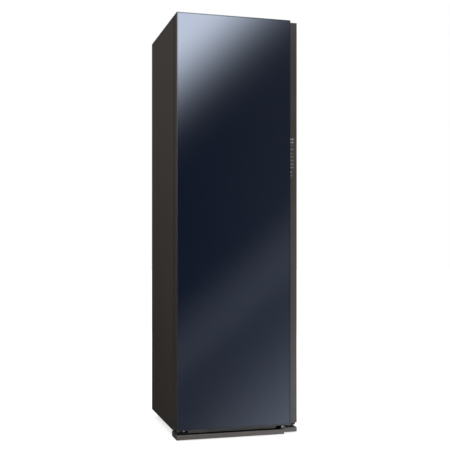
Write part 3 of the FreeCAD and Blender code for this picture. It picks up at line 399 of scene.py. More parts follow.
def carried_round(profile, width, height, radius, steps=6, closed=False):
    """A profile of (inset, depth) rows carried round a rectangle.

    On each corner a point is the corner's centre plus r (cos a, sin a); a runs through one full
    turn over the four corners, and r is the radius less the inset. Open profiles get flat ends.
    """
    inset, depth = np.array(profile, float).T[:, :, None, None]
    r = np.maximum(radius - inset, SMALLEST_RADIUS)
    corner = np.arange(4)[:, None]
    angle = (corner + np.linspace(0, 1, steps)[None, :]) * math.pi / 2
    side = np.array([1, -1, -1, 1])[:, None]
    end = np.array([1, 1, -1, -1])[:, None]
    across = side * (width / 2 - inset - r) + r * np.cos(angle)
    along = end * (height / 2 - inset - r) + r * np.sin(angle)
    rows, columns = len(profile), 4 * steps
    points = np.stack([across, np.broadcast_to(depth, across.shape), along], -1).reshape(-1, 3)
    faces = grid_faces(rows, columns, wrap_rows=closed, wrap_columns=True)
    if not closed:
        faces.append(list(range(columns)))
        faces.append(list(range((rows - 1) * columns, rows * columns)))
    return points, faces


def moved(shape, x=0.0, y=0.0, z=0.0):
    """The same shape in another place: every point plus (x, y, z)."""
    return shape[0] + np.array([x, y, z]), shape[1]


# %% [markdown]
# ## From a shape to a piece
# Where a shape closes on itself some of its points lie on top of each other, so these are merged
# first, and then the faces are turned outwards. Smooth shading with sharp edges beyond a set angle
# keeps round things round and flat things flat. Each piece rides on the body that it moves with.

# %% Piece maker
MERGE_DISTANCE = 2e-6


def make_piece(name, shape, body, slot, finish=None, sharp_degrees=32):
    """Put a shape into a mesh, turn its faces outwards, and let it ride on a body."""
    points, faces = shape
    mesh = bpy.data.meshes.new(name)
    mesh.from_pydata(points.tolist(), [], faces)
    work = bmesh.new()
    work.from_mesh(mesh)
    bmesh.ops.remove_doubles(work, verts=work.verts, dist=MERGE_DISTANCE)
    bmesh.ops.recalc_face_normals(work, faces=work.faces)
    work.to_mesh(mesh)
    work.free()
    mesh.polygons.foreach_set("use_smooth", np.ones(len(mesh.polygons), bool))
    mesh.set_sharp_from_angle(angle=math.radians(sharp_degrees))
    mesh.materials.append(FINISHES[finish or slot])
    piece = bpy.data.objects.new(name, mesh)
    bpy.context.scene.collection.objects.link(piece)
    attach(piece, body)
    print(name, "has", len(mesh.polygons), "faces")
    return piece


def box_of(node):
    """A node's middle and size as arrays: (low + high) / 2 and high - low."""
    low, high = (np.array(corner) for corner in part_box(node))
    return (low + high) / 2, high - low


# %% [markdown]
# ## The glass with its ground edge
# A sheet of glass is never left with a sharp edge: it is ground at 45 degrees, and that thin facet
# is what catches the light round a mirror door. So the sheet is four rings: back, back facet,
# front facet, front.

# %% Door glass
FACET = 0.9 * MM
BACK_FACET = 0.4 * MM
GLASS_CORNER = 2.0 * MM
middle, size = box_of("door_glass")
thickness = size[1]
rings = [(BACK_FACET, thickness), (0, thickness - BACK_FACET), (0, FACET), (FACET, 0)]
sheet = carried_round(rings, size[0], size[2], GLASS_CORNER)
glass = make_piece("ground_glass", moved(sheet, middle[0], middle[1] - thickness / 2, middle[2]),
                   "door", "mirror_glass", sharp_degrees=20)
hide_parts("door_glass")

# %% [markdown]
# ## The door seal
# A door seal is a soft bellows with a magnet strip in its nose. Its section is wide at the foot,
# in the middle and at the nose, and narrow at the two folds between, so the half width is worked
# out from how far along the depth a point lies: h = h0 (0.7 + 0.3 |cos 2 pi v|). The section is a
# closed loop that goes up one side and down the other.

# %% Door seal
SEAL_WIDTH = 12 * MM
SEAL_FULLNESS = 0.98
SEAL_FOLD = 0.70
SEAL_SWELL = 0.30
SEAL_CORNER = 10 * MM
SEAL_ROWS = 13
middle, size = box_of("door_gasket")
up = np.linspace(0, 1, SEAL_ROWS)
swell = SEAL_FOLD + SEAL_SWELL * np.abs(np.cos(2 * math.pi * up))
half_width = SEAL_WIDTH / 2 * SEAL_FULLNESS * swell
inset = np.concatenate([SEAL_WIDTH / 2 - half_width, (SEAL_WIDTH / 2 + half_width)[::-1]])
depth = np.concatenate([up, up[::-1]]) * size[1]
section = np.stack([inset, depth], -1)
loop = carried_round(section, size[0], size[2], SEAL_CORNER, steps=10, closed=True)
seal = make_piece("bellows_seal", moved(loop, middle[0], middle[1] - size[1] / 2, middle[2]),
                  "door", "rubber_seal", sharp_degrees=50)
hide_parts("door_gasket")

# %% [markdown]
# ## The beads in the seam
# The seam between a door and its case looks dark, because little light gets into it. A foam bead
# up each front edge of the case, which the closed door almost touches, keeps dust out. Its
# near-black colour without any gloss is painted shade that makes the seam darker still. A bead is
# a bar with round ends whose outline draws in towards its nose.

# %% Seam beads
BEAD_WIDTH = 3.6 * MM
BEAD_DEPTH = 5.0 * MM
BEAD_INSET = 0.1 * MM
BEAD_BOTTOM = 0.050
BEAD_TOP = 1.953
BEAD_PROFILE = [(0, 0), (0, -0.72 * BEAD_DEPTH), (0.5 * MM, -0.92 * BEAD_DEPTH),
                (1.4 * MM, -BEAD_DEPTH)]  # inset and depth from the foot to the nose
case_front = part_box("side_panel_left")[0][1]
bead = carried_round(BEAD_PROFILE, BEAD_WIDTH, BEAD_TOP - BEAD_BOTTOM, BEAD_WIDTH / 2)
bead_x = cad_box[1][0] - BEAD_INSET - BEAD_WIDTH / 2
beads = [moved(bead, x, case_front, (BEAD_TOP + BEAD_BOTTOM) / 2) for x in (-bead_x, bead_x)]
# The beads are near black as painted shade, which darkens the seam.
make_piece("seam_painted_shade_beads", join_shapes(beads), "cabinet", "rubber_seal", "seam_painted_shade")

# %% [markdown]
# ## The touch keys' marks
# The strip beside the glass carries a column of touch keys. They have no words here: each mark is
# a few strokes, such as a ring with a bar or a row of dots. A stroke is a path with a flat
# section: the path's direction turned by a quarter gives the way across, and half the width is
# added on each side. The marks stand a tenth of a millimetre proud, like thick ink.

# %% Stroke
INK = 0.12 * MM
STROKE = 1.9 * MM
ARC_POINTS = 25


def stroke(across, along, width=STROKE):
    """A flat band along a path: left and right = path +- (width / 2) times the path's normal."""
    path = np.stack([across, along], -1)
    way = np.gradient(path, axis=0)
    way /= np.linalg.norm(way, axis=1)[:, None]
    normal = np.stack([-way[:, 1], way[:, 0]], -1) * width / 2
    left, right = path + normal, path - normal
    corners = [(left, 0.0), (right, 0.0), (right, -INK), (left, -INK)]
    rows = [np.insert(flat, 1, level, axis=1) for flat, level in corners]
    points = np.stack(rows, 1).reshape(-1, 3)
    count = len(path)
    faces = grid_faces(count, 4, wrap_columns=True)
    faces.append([0, 1, 2, 3])
    faces.append([4 * count - 4, 4 * count - 3, 4 * count - 2, 4 * count - 1])
    return points, faces


def bar(x0, x1, z, width=STROKE):
    """A straight level stroke from (x0, z) to (x1, z), in millimetres."""
    return stroke(np.linspace(x0, x1, 2) * MM, np.full(2, z * MM), width)


def arc(radius, start, end, x=0.0):
    """A stroke along part of a circle: (x + r cos a, r sin a), in millimetres and degrees."""
    angle = np.radians(np.linspace(start, end, ARC_POINTS))
    return stroke((x + radius * np.cos(angle)) * MM, radius * np.sin(angle) * MM)


def dot(x, width=2.6):
    """A round spot: a square whose corners are rounded by half its width, in millimetres."""
    spot = carried_round([(0, 0), (0, -INK)], width * MM, width * MM, width * MM / 2)
    return moved(spot, x * MM)


# %% Key marks
MARK_INSET = 24 * MM
MARK_X = cad_box[1][0] - MARK_INSET
STRIP_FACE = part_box("control_strip")[0][1]
# The top two marks are painted brighter as a painted glow, as if a lamp shone through them.
PAINTED_GLOW_MARKS = {1.399: [bar(-12, -5, 1.7), bar(-3, 7, 1.7), bar(-12, 4, -1.7)],
             1.385: [arc(3.2, 50, -230, x=-8.5), bar(-2, 5, 1.5), bar(-2, 5, -1.5)]}
PRINTED_MARKS = {1.369: [bar(-9, 4, 0, 0.9 * MM)],
                 1.351: [bar(-12, 5, 1.8), bar(-12, 3, -1.8)],
                 1.332: [bar(-12, -4, 0, 4.2 * MM), dot(-1), dot(2.6)],
                 1.316: [arc(2.9, 0, 340, x=-8.5), bar(-3, 2, 0, 4.0 * MM)],
                 1.298: [bar(-12, 6, 1.8), bar(-12, 6, -1.8)],
                 1.281: [dot(-10.5), bar(-8, 5, 2.2), bar(-8, 5, -2.2)],
                 1.265: [arc(2.9, 90, 430, x=3.5), bar(-12, -2, 0, 3.6 * MM)],
                 1.243: [dot(-5, 6.4)],
                 1.226: [dot(-5, 6.4)]}


def mark_column(marks):
    """All the strokes of a column of marks, each at its own height on the strip's face."""
    return join_shapes([moved(shape, MARK_X, STRIP_FACE, height)
                        for height, shapes in marks.items() for shape in shapes])


make_piece("key_marks_painted_glow", mark_column(PAINTED_GLOW_MARKS), "door", "frosted_plastic", "key_mark_painted_glow")
make_piece("key_marks_printed", mark_column(PRINTED_MARKS), "door", "frosted_plastic",
           "key_mark_printed")

# %% [markdown]
# ## Screws with a cross recess
# A screw head is a polar grid: rings by angles. The head's height is a shallow dome, and the cross
# is pressed into it wherever a point lies in one of two crossed bars. The rings go on over the
# rim, under the head and down the shank, so the screw is one closed skin.

# %% Screw measures
HEAD_RADIUS = 3.9 * MM
HEAD_THICKNESS = 1.1 * MM
HEAD_DOME = 0.45 * MM
SHANK_RADIUS = 1.9 * MM
SHANK_LENGTH = 4.0 * MM
RECESS_WIDTH = 0.55 * MM
RECESS_REACH = 2.3 * MM
RECESS_DEPTH = 0.9 * MM
RECESS_WALL = 0.25 * MM
RECESS_END = 0.3 * MM
FIRST_RING = 0.02
RINGS = 12
SPOKES = 48
print("screw heads:", round(2 * HEAD_RADIUS / MM, 1), "mm wide")


# %% Screw shape
def smooth_step(value):
    """0 below 0, 1 above 1, and 3 v^2 - 2 v^3 between."""
    value = np.clip(value, 0, 1)
    return value * value * (3 - 2 * value)


def screw():
    """Height = dome - depth x cross, with the cross 1 inside either bar and 0 outside."""
    rings = np.linspace(FIRST_RING, 1, RINGS) * HEAD_RADIUS
    angle = np.linspace(0, 2 * math.pi, SPOKES, endpoint=False)
    r, a = np.meshgrid(rings, angle, indexing="ij")
    x, y = r * np.cos(a), r * np.sin(a)
    small = np.minimum(np.abs(x), np.abs(y))
    large = np.maximum(np.abs(x), np.abs(y))
    cross = (1 - smooth_step((small - RECESS_WIDTH) / RECESS_WALL)) * \
        (1 - smooth_step((large - RECESS_REACH) / RECESS_END))
    dome = -HEAD_DOME * (r / HEAD_RADIUS) ** 2
    top = np.stack([x, y, dome - RECESS_DEPTH * cross], -1).reshape(-1, 3)
    lower = [(HEAD_RADIUS, -HEAD_THICKNESS), (SHANK_RADIUS, -HEAD_THICKNESS),
             (SHANK_RADIUS, -HEAD_THICKNESS - SHANK_LENGTH)]
    radius, level = np.array(lower).T[:, :, None]
    under = np.stack([radius * np.cos(angle), radius * np.sin(angle),
                      np.broadcast_to(level, (len(lower), SPOKES))], -1).reshape(-1, 3)
    points = np.concatenate([top, under])
    rows = RINGS + len(lower)
    faces = grid_faces(rows, SPOKES, wrap_columns=True)
    faces.append(list(range(SPOKES)))
    faces.append(list(range((rows - 1) * SPOKES, rows * SPOKES)))
    return points, faces


def facing(shape, way):
    """Turn a shape that faces up: (x, y, z) becomes (x, z, y) for back, (x, -z, y) for front."""
    x, y, z = shape[0].T
    turned = {"up": (x, y, z), "back": (x, z, y), "front": (x, -z, y)}[way]
    return np.stack(turned, -1), shape[1]


# %% Screws in place
REAR_SCREW_INSET = 10 * MM
REAR_SCREW_HEIGHTS = (0.08, 0.52, 0.96, 1.40, 1.90)
UPPER_SCREWS = ((-0.2795, -0.229), (-0.2475, -0.229), (-0.2635, -0.191))
LOWER_SCREW_X = (-0.2635, -0.2475)
LOWER_SCREW_Z = 0.044
BRACKET_FACE = -0.2525
rear_x = cad_box[1][0] - REAR_SCREW_INSET
back_face = cad_box[1][1]
top_face = cad_box[1][2]
screws = [moved(facing(screw(), "back"), x, back_face, z)
          for x in (-rear_x, rear_x) for z in REAR_SCREW_HEIGHTS]
screws += [moved(facing(screw(), "up"), x, y, top_face) for x, y in UPPER_SCREWS]
screws += [moved(facing(screw(), "front"), x, BRACKET_FACE, LOWER_SCREW_Z)
           for x in LOWER_SCREW_X]
heads = make_piece("cross_head_screws", join_shapes(screws), "cabinet", "bright_steel")
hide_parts("casing_screws")

# %% [markdown]
# ## The toe plate
# Beside the lower hinge a short steel plate stiffens the rail under the door. It is the same kind
# of shape as the beads, a profile carried round a rectangle with small corners, and two of the
# screws hold it.

# %% Toe plate
TOE_PLATE_X = (-0.2335, -0.1425)
TOE_PLATE_Z = (0.0205, 0.0395)
PLATE_THICKNESS = 0.9 * MM
PLATE_CORNER = 2 * MM
PLATE_PROFILE = [(0, 0), (0, -0.5 * PLATE_THICKNESS), (0.4 * MM, -PLATE_THICKNESS)]
PLATE_SCREW_INSET = 8 * MM
plate_x, plate_z = np.mean(TOE_PLATE_X), np.mean(TOE_PLATE_Z)
plate_face = case_front - PLATE_THICKNESS
plate = carried_round(PLATE_PROFILE, np.ptp(TOE_PLATE_X), np.ptp(TOE_PLATE_Z), PLATE_CORNER)
toe_plate = [moved(plate, plate_x, case_front, plate_z)]
toe_plate += [moved(facing(screw(), "front"), x, plate_face, plate_z)
              for x in (TOE_PLATE_X[0] + PLATE_SCREW_INSET, TOE_PLATE_X[1] - PLATE_SCREW_INSET)]
make_piece("toe_plate", join_shapes(toe_plate), "cabinet", "case_paint", "plate_paint")

# %% [markdown]
# ## Louvres on the back
# Each vent is pressed out of the sheet as a small hood over its slot. Along the slot the hood
# rises and falls as sin(pi u) to a low power, which gives it steep ends and a flat middle; across
# the slot it rises as a quarter of a sine from the sheet to its lip. A copy of the surface a
# little further in, and a wall round the borders, make a closed sheet of it.

# %% Sheet helpers
def unit_grid(rows, columns):
    """Two parameters u and v that run from 0 to 1, u with the rows and v with the columns."""
    return np.meshgrid(np.linspace(0, 1, rows), np.linspace(0, 1, columns), indexing="ij")


def shell_faces(rows, columns):
    """Two equal grids, one behind the other, joined by a wall along all four borders."""
    cells = np.array(grid_faces(rows, columns))
    count = rows * columns
    border = np.concatenate([np.arange(columns), np.arange(2 * columns - 1, count, columns),
                             np.arange(count - 2, count - columns - 1, -1),
                             np.arange(count - 2 * columns, 0, -columns)])
    after = np.roll(border, -1)
    wall = np.stack([border, after, after + count, border + count], -1)
    return np.concatenate([cells, cells[:, ::-1] + count, wall]).tolist()


# %% Vent hoods
SLOT_LENGTH = 110 * MM
SLOT_HEIGHT = 7 * MM
HOOD_PROUD = 1.2 * MM
HOOD_REACH = 6 * MM
HOOD_SHEET = 0.35 * MM
HOOD_POWER = 0.35
HOOD_GRID = (25, 7)
VENT_ROWS = 12
VENT_PITCH = 20 * MM
VENT_BOTTOM = 170 * MM
VENT_LEFT_ENDS = (-0.240, 0.130)


def vent_hood():
    """y = proud sin(pi u)^p sin(pi v / 2), from the sheet above the slot down to the lip."""
    u, v = unit_grid(*HOOD_GRID)
    along = np.sin(math.pi * u).clip(0, 1) ** HOOD_POWER
    proud = HOOD_PROUD * along * np.sin(math.pi * v / 2)
    outer = np.stack([u * SLOT_LENGTH, proud, SLOT_HEIGHT + HOOD_REACH * (1 - v)], -1)
    inner = outer - np.array([0, HOOD_SHEET, 0])
    points = np.concatenate([outer.reshape(-1, 3), inner.reshape(-1, 3)])
    return points, shell_faces(*HOOD_GRID)


sheet_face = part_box("rear_panel")[1][1]
hoods = [moved(vent_hood(), x, sheet_face, VENT_BOTTOM + VENT_PITCH * row)
         for x in VENT_LEFT_ENDS for row in range(VENT_ROWS)]
make_piece("vent_hoods", join_shapes(hoods), "cabinet", "galvanised_steel", sharp_degrees=60)

# %% [markdown]
# ## The pressed top
# A flat sheet this wide would drum, so the top has a shallow pressed field. How far a point lies
# inside a rectangle is the smallest of its distances to the four sides; a smooth step of that
# distance makes the sloping shoulder, and three low ribs stand in the field.

# %% Top cover
TOP_GRID = (121, 115)
FIELD_HALF_WIDTH = 0.225
FIELD_FRONT = -0.150
FIELD_BACK = 0.285
FIELD_DEPTH = 1.6 * MM
SHOULDER = 9 * MM
RIBS_Y = (-0.06, 0.068, 0.196)
RIB_HEIGHT = 0.8
RIB_WIDTH = 7 * MM
RIB_GAP = 0.03
RIB_END = 12 * MM


def top_cover():
    """z = top - depth step(d / shoulder) (1 - h ribs), where d is the distance inside the field.

    A rib is exp(-(y / width)^2), cut short of the field's left and right sides by a smooth step,
    and h is its share of the field's depth.
    """
    low, high = (np.array(corner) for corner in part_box("top_panel"))
    x, y = np.meshgrid(np.linspace(low[0], high[0], TOP_GRID[0]),
                       np.linspace(low[1], high[1], TOP_GRID[1]), indexing="ij")
    inside = np.minimum(FIELD_HALF_WIDTH - np.abs(x), np.minimum(y - FIELD_FRONT, FIELD_BACK - y))
    field = smooth_step(inside / SHOULDER)
    ribs = sum(np.exp(-((y - rib_y) / RIB_WIDTH) ** 2) for rib_y in RIBS_Y)
    ribs = ribs * smooth_step((FIELD_HALF_WIDTH - RIB_GAP - np.abs(x)) / RIB_END)
    top = high[2] - FIELD_DEPTH * field * (1 - RIB_HEIGHT * ribs)
    upper = np.stack([x, y, top], -1).reshape(-1, 3)
    lower = np.stack([x, y, np.full_like(x, low[2])], -1).reshape(-1, 3)
    return np.concatenate([upper, lower]), shell_faces(*TOP_GRID)


cover = make_piece("pressed_top", top_cover(), "cabinet", "top_plastic", sharp_degrees=40)
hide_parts("top_panel")

# %% [markdown]
# ## Level marks on the tanks
# Each tank has moulded lines on its front so that the water level can be read: long ones at every
# second step and short ones between. They are thin bars with rounded ends.

# %% Tank marks
TANK_X = 0.111
MARK_STEPS = 7
MARK_BOTTOM = 0.125
MARK_PITCH = 0.036
MARK_LENGTHS = (54 * MM, 30 * MM)
MARK_HEIGHT = 2.2 * MM
MARK_PROUD = 0.25 * MM
tank_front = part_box("supply_tank")[0][1]
for tank, x in (("supply_tank", -TANK_X), ("drain_tank", TANK_X)):
    lines = []
    for step in range(MARK_STEPS):
        line = carried_round([(0, 0), (0, -MARK_PROUD)], MARK_LENGTHS[step % 2], MARK_HEIGHT,
                             MARK_HEIGHT / 2)
        lines.append(moved(line, x, tank_front, MARK_BOTTOM + MARK_PITCH * step))
    make_piece(tank + "_level_marks", join_shapes(lines), tank, "lid_plastic")

# %% [markdown]
# ## The pleated lint mesh
# Folding the mesh gives it several times the area of its frame. The height follows a triangle
# wave with its peaks softened, which an arcsine of a slightly weakened sine gives.

# %% Lint mesh
PLEATS = 12
PLEAT_STEPS = 14
PLEAT_SHARPNESS = 0.97
MESH_THICKNESS = 0.5 * MM


def pleated_mesh():
    """z = bottom + rise (1 + asin(s sin(2 pi n u)) / asin(s)), for n pleats of sharpness s."""
    low, high = (np.array(corner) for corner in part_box("dust_filter_mesh"))
    grid = (PLEATS * PLEAT_STEPS + 1, 3)
    u, v = unit_grid(*grid)
    wave = PLEAT_SHARPNESS * np.sin(2 * math.pi * PLEATS * (u - 0.25 / PLEATS))
    fold = np.arcsin(wave) / math.asin(PLEAT_SHARPNESS)
    rise = (high[2] - low[2] - MESH_THICKNESS) / 2
    upper = np.stack([low[0] + (high[0] - low[0]) * u, low[1] + (high[1] - low[1]) * v,
                      low[2] + MESH_THICKNESS + rise * (1 + fold)], -1).reshape(-1, 3)
    lower = upper - np.array([0, 0, MESH_THICKNESS])
    return np.concatenate([upper, lower]), shell_faces(*grid)


mesh_piece = make_piece("pleated_lint_mesh", pleated_mesh(), "lint_filter", "lint_mesh",
                        sharp_degrees=60)
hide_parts("dust_filter_mesh")

# %% [markdown]
# ## The studio
# What stands round the cabinet is no part of it. A floor is seen and lit but doesn't show in
# mirrors; a card shows only in mirrors. Each can then be made for the one thing it does.

# %% Stage helper
def make_stage(name, points, faces, material, only_in_reflections):
    """Something that stands round the object without being part of it."""
    mesh = bpy.data.meshes.new(name)
    mesh.from_pydata(points, [], faces)
    mesh.materials.append(material)
    thing = bpy.data.objects.new(name, mesh)
    bpy.context.scene.collection.objects.link(thing)
    if only_in_reflections:
        thing.visible_camera = False
        thing.visible_diffuse = False
        thing.visible_transmission = False
        thing.visible_shadow = False
    else:
        thing.visible_glossy = False
    return thing


def plain_material(name):
    """An empty material and its tree."""
    material = bpy.data.materials.new(name)
    material.use_nodes = True
    material.node_tree.nodes.clear()
    return material, material.node_tree


def finish_tree(tree, shader):
    """Lead a shader to the material's output."""
    output = add_node(tree, "OutputMaterial")
    tree.links.new(shader, output.inputs[0])


# %% [markdown]
# ## The cards
# A mirror shows what stands opposite, so a mirror door is lit with cards, as in a studio: one
# large graded card behind the camera, and dark curved ones at the sides that keep the satin metal
# from washing out. Each turns clear towards its border, so that no edge of it shows in the glass.
# The glow is an attribute of the card's own points, which takes any formula that numpy can work
# out.

# %% Card maker
def make_card(name, points, light, away):
    """A grid of points that glow, and turn clear as away goes from 0 to 1."""
    material, tree = plain_material(name)
    material.cycles.emission_sampling = "NONE"
    glow = add_node(tree, "Attribute", attribute_name="glow")
    clear = add_node(tree, "BsdfTransparent").outputs[0]
    shine = add_node(tree, "Emission", {"Color": glow.outputs["Color"]}).outputs[0]
    mixed = add_node(tree, "MixShader", {0: glow.outputs["Alpha"], 1: clear, 2: shine})
    finish_tree(tree, mixed.outputs[0])
    card = make_stage(name, points.reshape(-1, 3).tolist(), grid_faces(*away.shape), material,
                      True)
    colours = np.concatenate([light, 1 - away[..., None]], -1).ravel()
    card.data.attributes.new("glow", "FLOAT_COLOR", "POINT").data.foreach_set("color", colours)
    print(name, "glows from", round(light.min(), 3), "to", round(light.max(), 3))


def between(value, start, end):
    """A smooth step from 0 at the start to 1 at the end; the end may be the smaller one."""
    return smooth_step((value - start) / (end - start))


# %% [markdown]
# ## The graded card
# What the glass shows is a soft box high up on the left, a faint band across the middle and a low
# fill at the lower right. All three are smooth steps along one diagonal of the card, which bends a
# little, so one formula grades the whole card without a seam.

# %% Graded card's measures
CARD_Y = -4.915
CARD_X = (-4, 6)
CARD_Z = (-4, 7)
CARD_GRID = (140, 150)
CARD_TINT = np.array([0.74, 0.83, 1.0])
CLEAR_MIDDLE = (0.9, 1.15)
CLEAR_ACROSS = (1.8, 3.0)
CLEAR_UP = (3.0, 4.2)
DIAGONAL_START = 75.2
DIAGONAL_ACROSS = 55.15
DIAGONAL_DOWN = 69.8
DIAGONAL_BEND = 2.46
SOFT_BOX, SOFT_BOX_FALL = 6.77, (130.9, 30)
HALO, HALO_FALL = 0.123, (130, 80)
BAND, BAND_RISE = 0.28, (200.3, 247.2)
DIP, DIP_FALL = 0.121, (247.2, 271.6)
FILL, FILL_RISE = 2.2, (272, 470)
FILL_FADE, FADE_FALL = 0.82, (1.23, 0.42)
SIDE_GLOW, SIDE_RISE = 0.112, (0.49, 2.8)
print("graded card:", CARD_X[1] - CARD_X[0], "by", CARD_Z[1] - CARD_Z[0], "metres")


# %% Graded card
def graded_card():
    """Light = box step^3 + halo step + band step - dip step + fill step (1 - fade step) + side.

    The steps run along the diagonal d = d0 + a x' - b z' + c x' z', with x' and z' counted from
    the camera. Only the fade's step and the side's glow, which is a step too, run along x.
    """
    x, z = np.meshgrid(np.linspace(*CARD_X, CARD_GRID[0]), np.linspace(*CARD_Z, CARD_GRID[1]),
                       indexing="ij")
    across, up = x - CAMERA_PLACE[0], z - CAMERA_PLACE[2]
    diagonal = DIAGONAL_START + DIAGONAL_ACROSS * across - DIAGONAL_DOWN * up + \
        DIAGONAL_BEND * across * up
    light = SOFT_BOX * between(diagonal, *SOFT_BOX_FALL) ** 3
    light += HALO * between(diagonal, *HALO_FALL)
    light += BAND * between(diagonal, *BAND_RISE) - DIP * between(diagonal, *DIP_FALL)
    light += FILL * between(diagonal, *FILL_RISE) * (1 - FILL_FADE * between(x, *FADE_FALL))
    light += SIDE_GLOW * between(x, *SIDE_RISE)
    away = np.maximum(between(np.abs(x - CLEAR_MIDDLE[0]), *CLEAR_ACROSS),
                      between(np.abs(z - CLEAR_MIDDLE[1]), *CLEAR_UP))
    points = np.stack([x, np.full_like(x, CARD_Y), z], -1)
    make_card("graded_card", points, light[..., None] * CARD_TINT, away)


graded_card()

# %% [markdown]
# ## The dark cards
# Satin paint mirrors a wide, blurred part of the room. With white all round it would look grey, so
# a piece of a drum stands on either side, dark below and a little lighter above, as a room is.

# %% Dark cards
DRUM_RADIUS = 5.0
DRUM_MIDDLE = 2.5
DRUM_REACH = 9
DRUM_GRID = (48, 48)
DRUM_CLEAR = (0.8, 1)
DARK_TINT = np.array([1.0, 0.92, 0.84])
DARK_RISE = (-1, 4)
DARK_CARDS = {"dark_card_left": (60, 150, 0.004, 0.147),
              "dark_card_right": (-66, 32, 0.03, 0.06)}


def dark_card(name, start_degrees, end_degrees, low, high):
    """A piece of a drum, (R cos a, R sin a, z), whose level rises from low to high with z."""
    u, v = np.meshgrid(np.linspace(-1, 1, DRUM_GRID[0]), np.linspace(-1, 1, DRUM_GRID[1]),
                       indexing="ij")
    angle = np.radians((start_degrees + end_degrees + (end_degrees - start_degrees) * u) / 2)
    z = DRUM_MIDDLE + DRUM_REACH * v
    level = low + (high - low) * between(z, *DARK_RISE)
    away = np.maximum(between(np.abs(u), *DRUM_CLEAR), between(np.abs(v), *DRUM_CLEAR))
    points = np.stack([DRUM_RADIUS * np.cos(angle), DRUM_RADIUS * np.sin(angle), z], -1)
    make_card(name, points, level[..., None] * DARK_TINT, away)


for card_name, card_values in DARK_CARDS.items():
    dark_card(card_name, *card_values)

# %% [markdown]
# ## The floor
# The floor is white and keeps the cabinet's soft shadow. A lamp that made it fully white would
# light the cabinet too, so the floor gives off some light of its own that only the camera sees.
# Under the cabinet its colour is painted dark, a painted shadow, and it gives off none, or a white
# line would shine through behind the plinth.

# %% Floor's measures
FLOOR_HALF = 30.0
FLOOR_LIFT = 0.62
FLOOR_TONE = 0.85
# The painted shadow's colour on the floor under the cabinet.
SHADE_TONE = 0.03
SHADE_EDGE = (-0.006, 0.0)
SHADE_FRONT = (-0.298, -0.26)
SHADE_STEP_X = (0.195, 0.215)
SHADE_STEP = 0.032
SHADE_BEND = (-0.215, -0.05)
SHADE_FADE = (-0.12, -0.06)
FADE_RATE = 0.1
print("floor reaches", FLOOR_HALF, "metres each way")


# %% Floor
def smooth_range(tree, value, start, end, low=0.0, high=1.0):
    """The low value before the start, the high one after the end, and a smooth step between."""
    inputs = {"Value": value, "From Min": start, "From Max": end, "To Min": low, "To Max": high}
    return add_node(tree, "MapRange", inputs, interpolation_type="SMOOTHSTEP").outputs[0]


def floor():
    """White, and lifted for the camera by lift x step(d), d = distance off the shaded floor.

    The shaded floor is a painted shadow: its colour is painted dark under the cabinet, from the
    plinth's stepped front wall to the back. Its left border bends inwards behind the plinth,
    because there the floor shows under the side. On the right and at the back the distance counts
    a tenth, so the shade fades over ten times the width; on the right it does so only behind the
    plinth.
    """
    material, tree = plain_material("floor")
    place = add_node(tree, "TexCoord").outputs["Object"]
    parts = add_node(tree, "SeparateXYZ", {"Vector": place})
    x, y = parts.outputs["X"], parts.outputs["Y"]
    half_width, back = cad_box[1][0], cad_box[1][1]
    left = smooth_range(tree, y, *SHADE_BEND, -half_width, SHADE_STEP - half_width)
    front = smooth_range(tree, x, *SHADE_STEP_X, *SHADE_FRONT)
    right_fade = calculate(tree, "MULTIPLY", calculate(tree, "SUBTRACT", x, half_width),
                           smooth_range(tree, y, *SHADE_FADE, 1.0, FADE_RATE))
    back_fade = calculate(tree, "MULTIPLY", calculate(tree, "SUBTRACT", y, back), FADE_RATE)
    beside = calculate(tree, "MAXIMUM", calculate(tree, "SUBTRACT", left, x), right_fade)
    before = calculate(tree, "MAXIMUM", calculate(tree, "SUBTRACT", front, y), back_fade)
    distance = calculate(tree, "MAXIMUM", beside, before)
    open_floor = smooth_range(tree, distance, *SHADE_EDGE)
    tone = smooth_range(tree, distance, *SHADE_EDGE, SHADE_TONE, FLOOR_TONE)
    white = add_node(tree, "BsdfDiffuse", {"Color": tone})
    camera_ray = add_node(tree, "LightPath").outputs["Is Camera Ray"]
    glow = calculate(tree, "MULTIPLY", calculate(tree, "MULTIPLY", camera_ray, open_floor),
                     FLOOR_LIFT)
    lift = add_node(tree, "Emission", {"Strength": glow})
    both = add_node(tree, "AddShader", {0: white.outputs[0], 1: lift.outputs[0]})
    finish_tree(tree, both.outputs[0])
    corners = [(-FLOOR_HALF, -FLOOR_HALF, 0), (FLOOR_HALF, -FLOOR_HALF, 0),
               (FLOOR_HALF, FLOOR_HALF, 0), (-FLOOR_HALF, FLOOR_HALF, 0)]
    make_stage("floor", corners, [[0, 1, 2, 3]], material, False)


floor()

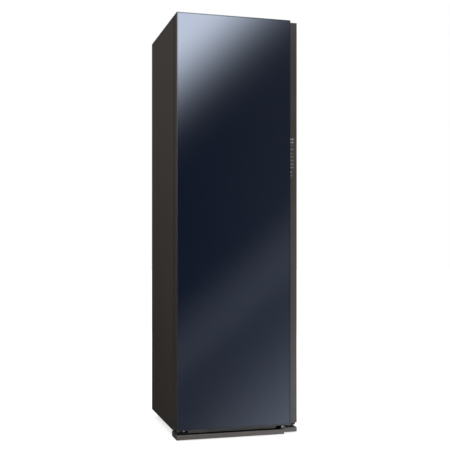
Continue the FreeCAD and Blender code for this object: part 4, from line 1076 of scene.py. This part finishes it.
# %% [markdown]
# ## Sky and lamps
# The sky is white wherever it is seen, mirrored or looked at through something clear, and gives a
# lower, even light otherwise. The lamps are wide and soft, look at the cabinet's middle and aren't
# mirrored: a low one picks out the toe, one fills the left, one stands in front and a strong one
# behind, so that the back is lit when the cabinet is looked at from there.

# %% World and lamps
WHITE = (1.0, 1.0, 1.0, 1.0)
PLAIN_LEVEL = 0.62
CABINET_MIDDLE = np.array([0.0, 0.0, 1.0])
LAMPS = {"low_key": ((0.5, -1.15, 0.12), 0.4, 5.2), "fill": ((-2.4, -3.0, 2.6), 2.4, 14.0),
         "front": ((0.3, -4.4, 1.6), 2.4, 34.0), "rear": ((0.5, 4.0, 3.0), 3.0, 70.0)}


def make_world():
    """White for rays that are seen, mirrored or passed through; a plain level for the rest."""
    world = bpy.data.worlds.new("studio")
    world.use_nodes = True
    bpy.context.scene.world = world
    tree = world.node_tree
    path = add_node(tree, "LightPath").outputs
    seen = calculate(tree, "MAXIMUM", path["Is Camera Ray"], path["Is Glossy Ray"])
    seen = calculate(tree, "MAXIMUM", seen, path["Is Transmission Ray"])
    level = calculate(tree, "MULTIPLY_ADD", seen, 1.0 - PLAIN_LEVEL, PLAIN_LEVEL)
    background = tree.nodes["Background"]
    background.inputs["Color"].default_value = WHITE
    tree.links.new(level, background.inputs["Strength"])


def make_lamp(name, place, width, power):
    """A square soft lamp at a place, turned and tilted towards the middle of the cabinet."""
    data = bpy.data.lights.new(name, "AREA")
    data.size = width
    data.energy = power
    lamp = bpy.data.objects.new(name, data)
    bpy.context.scene.collection.objects.link(lamp)
    away = np.array(place) - CABINET_MIDDLE
    turn = math.atan2(away[1], away[0]) + math.radians(90)
    tilt = math.atan2(math.hypot(away[0], away[1]), away[2])
    lamp.location = place
    lamp.rotation_euler = (tilt, 0, turn)
    lamp.visible_glossy = False
    print("lamp", name, "of", power, "watts")


make_world()
for lamp_name, lamp_values in LAMPS.items():
    make_lamp(lamp_name, *lamp_values)

# %% [markdown]
# ## Handing over
# The picture keeps its plain view transform, so that a colour shows as it is written.

# %% Hand over
bpy.context.scene.view_settings.view_transform = "Standard"
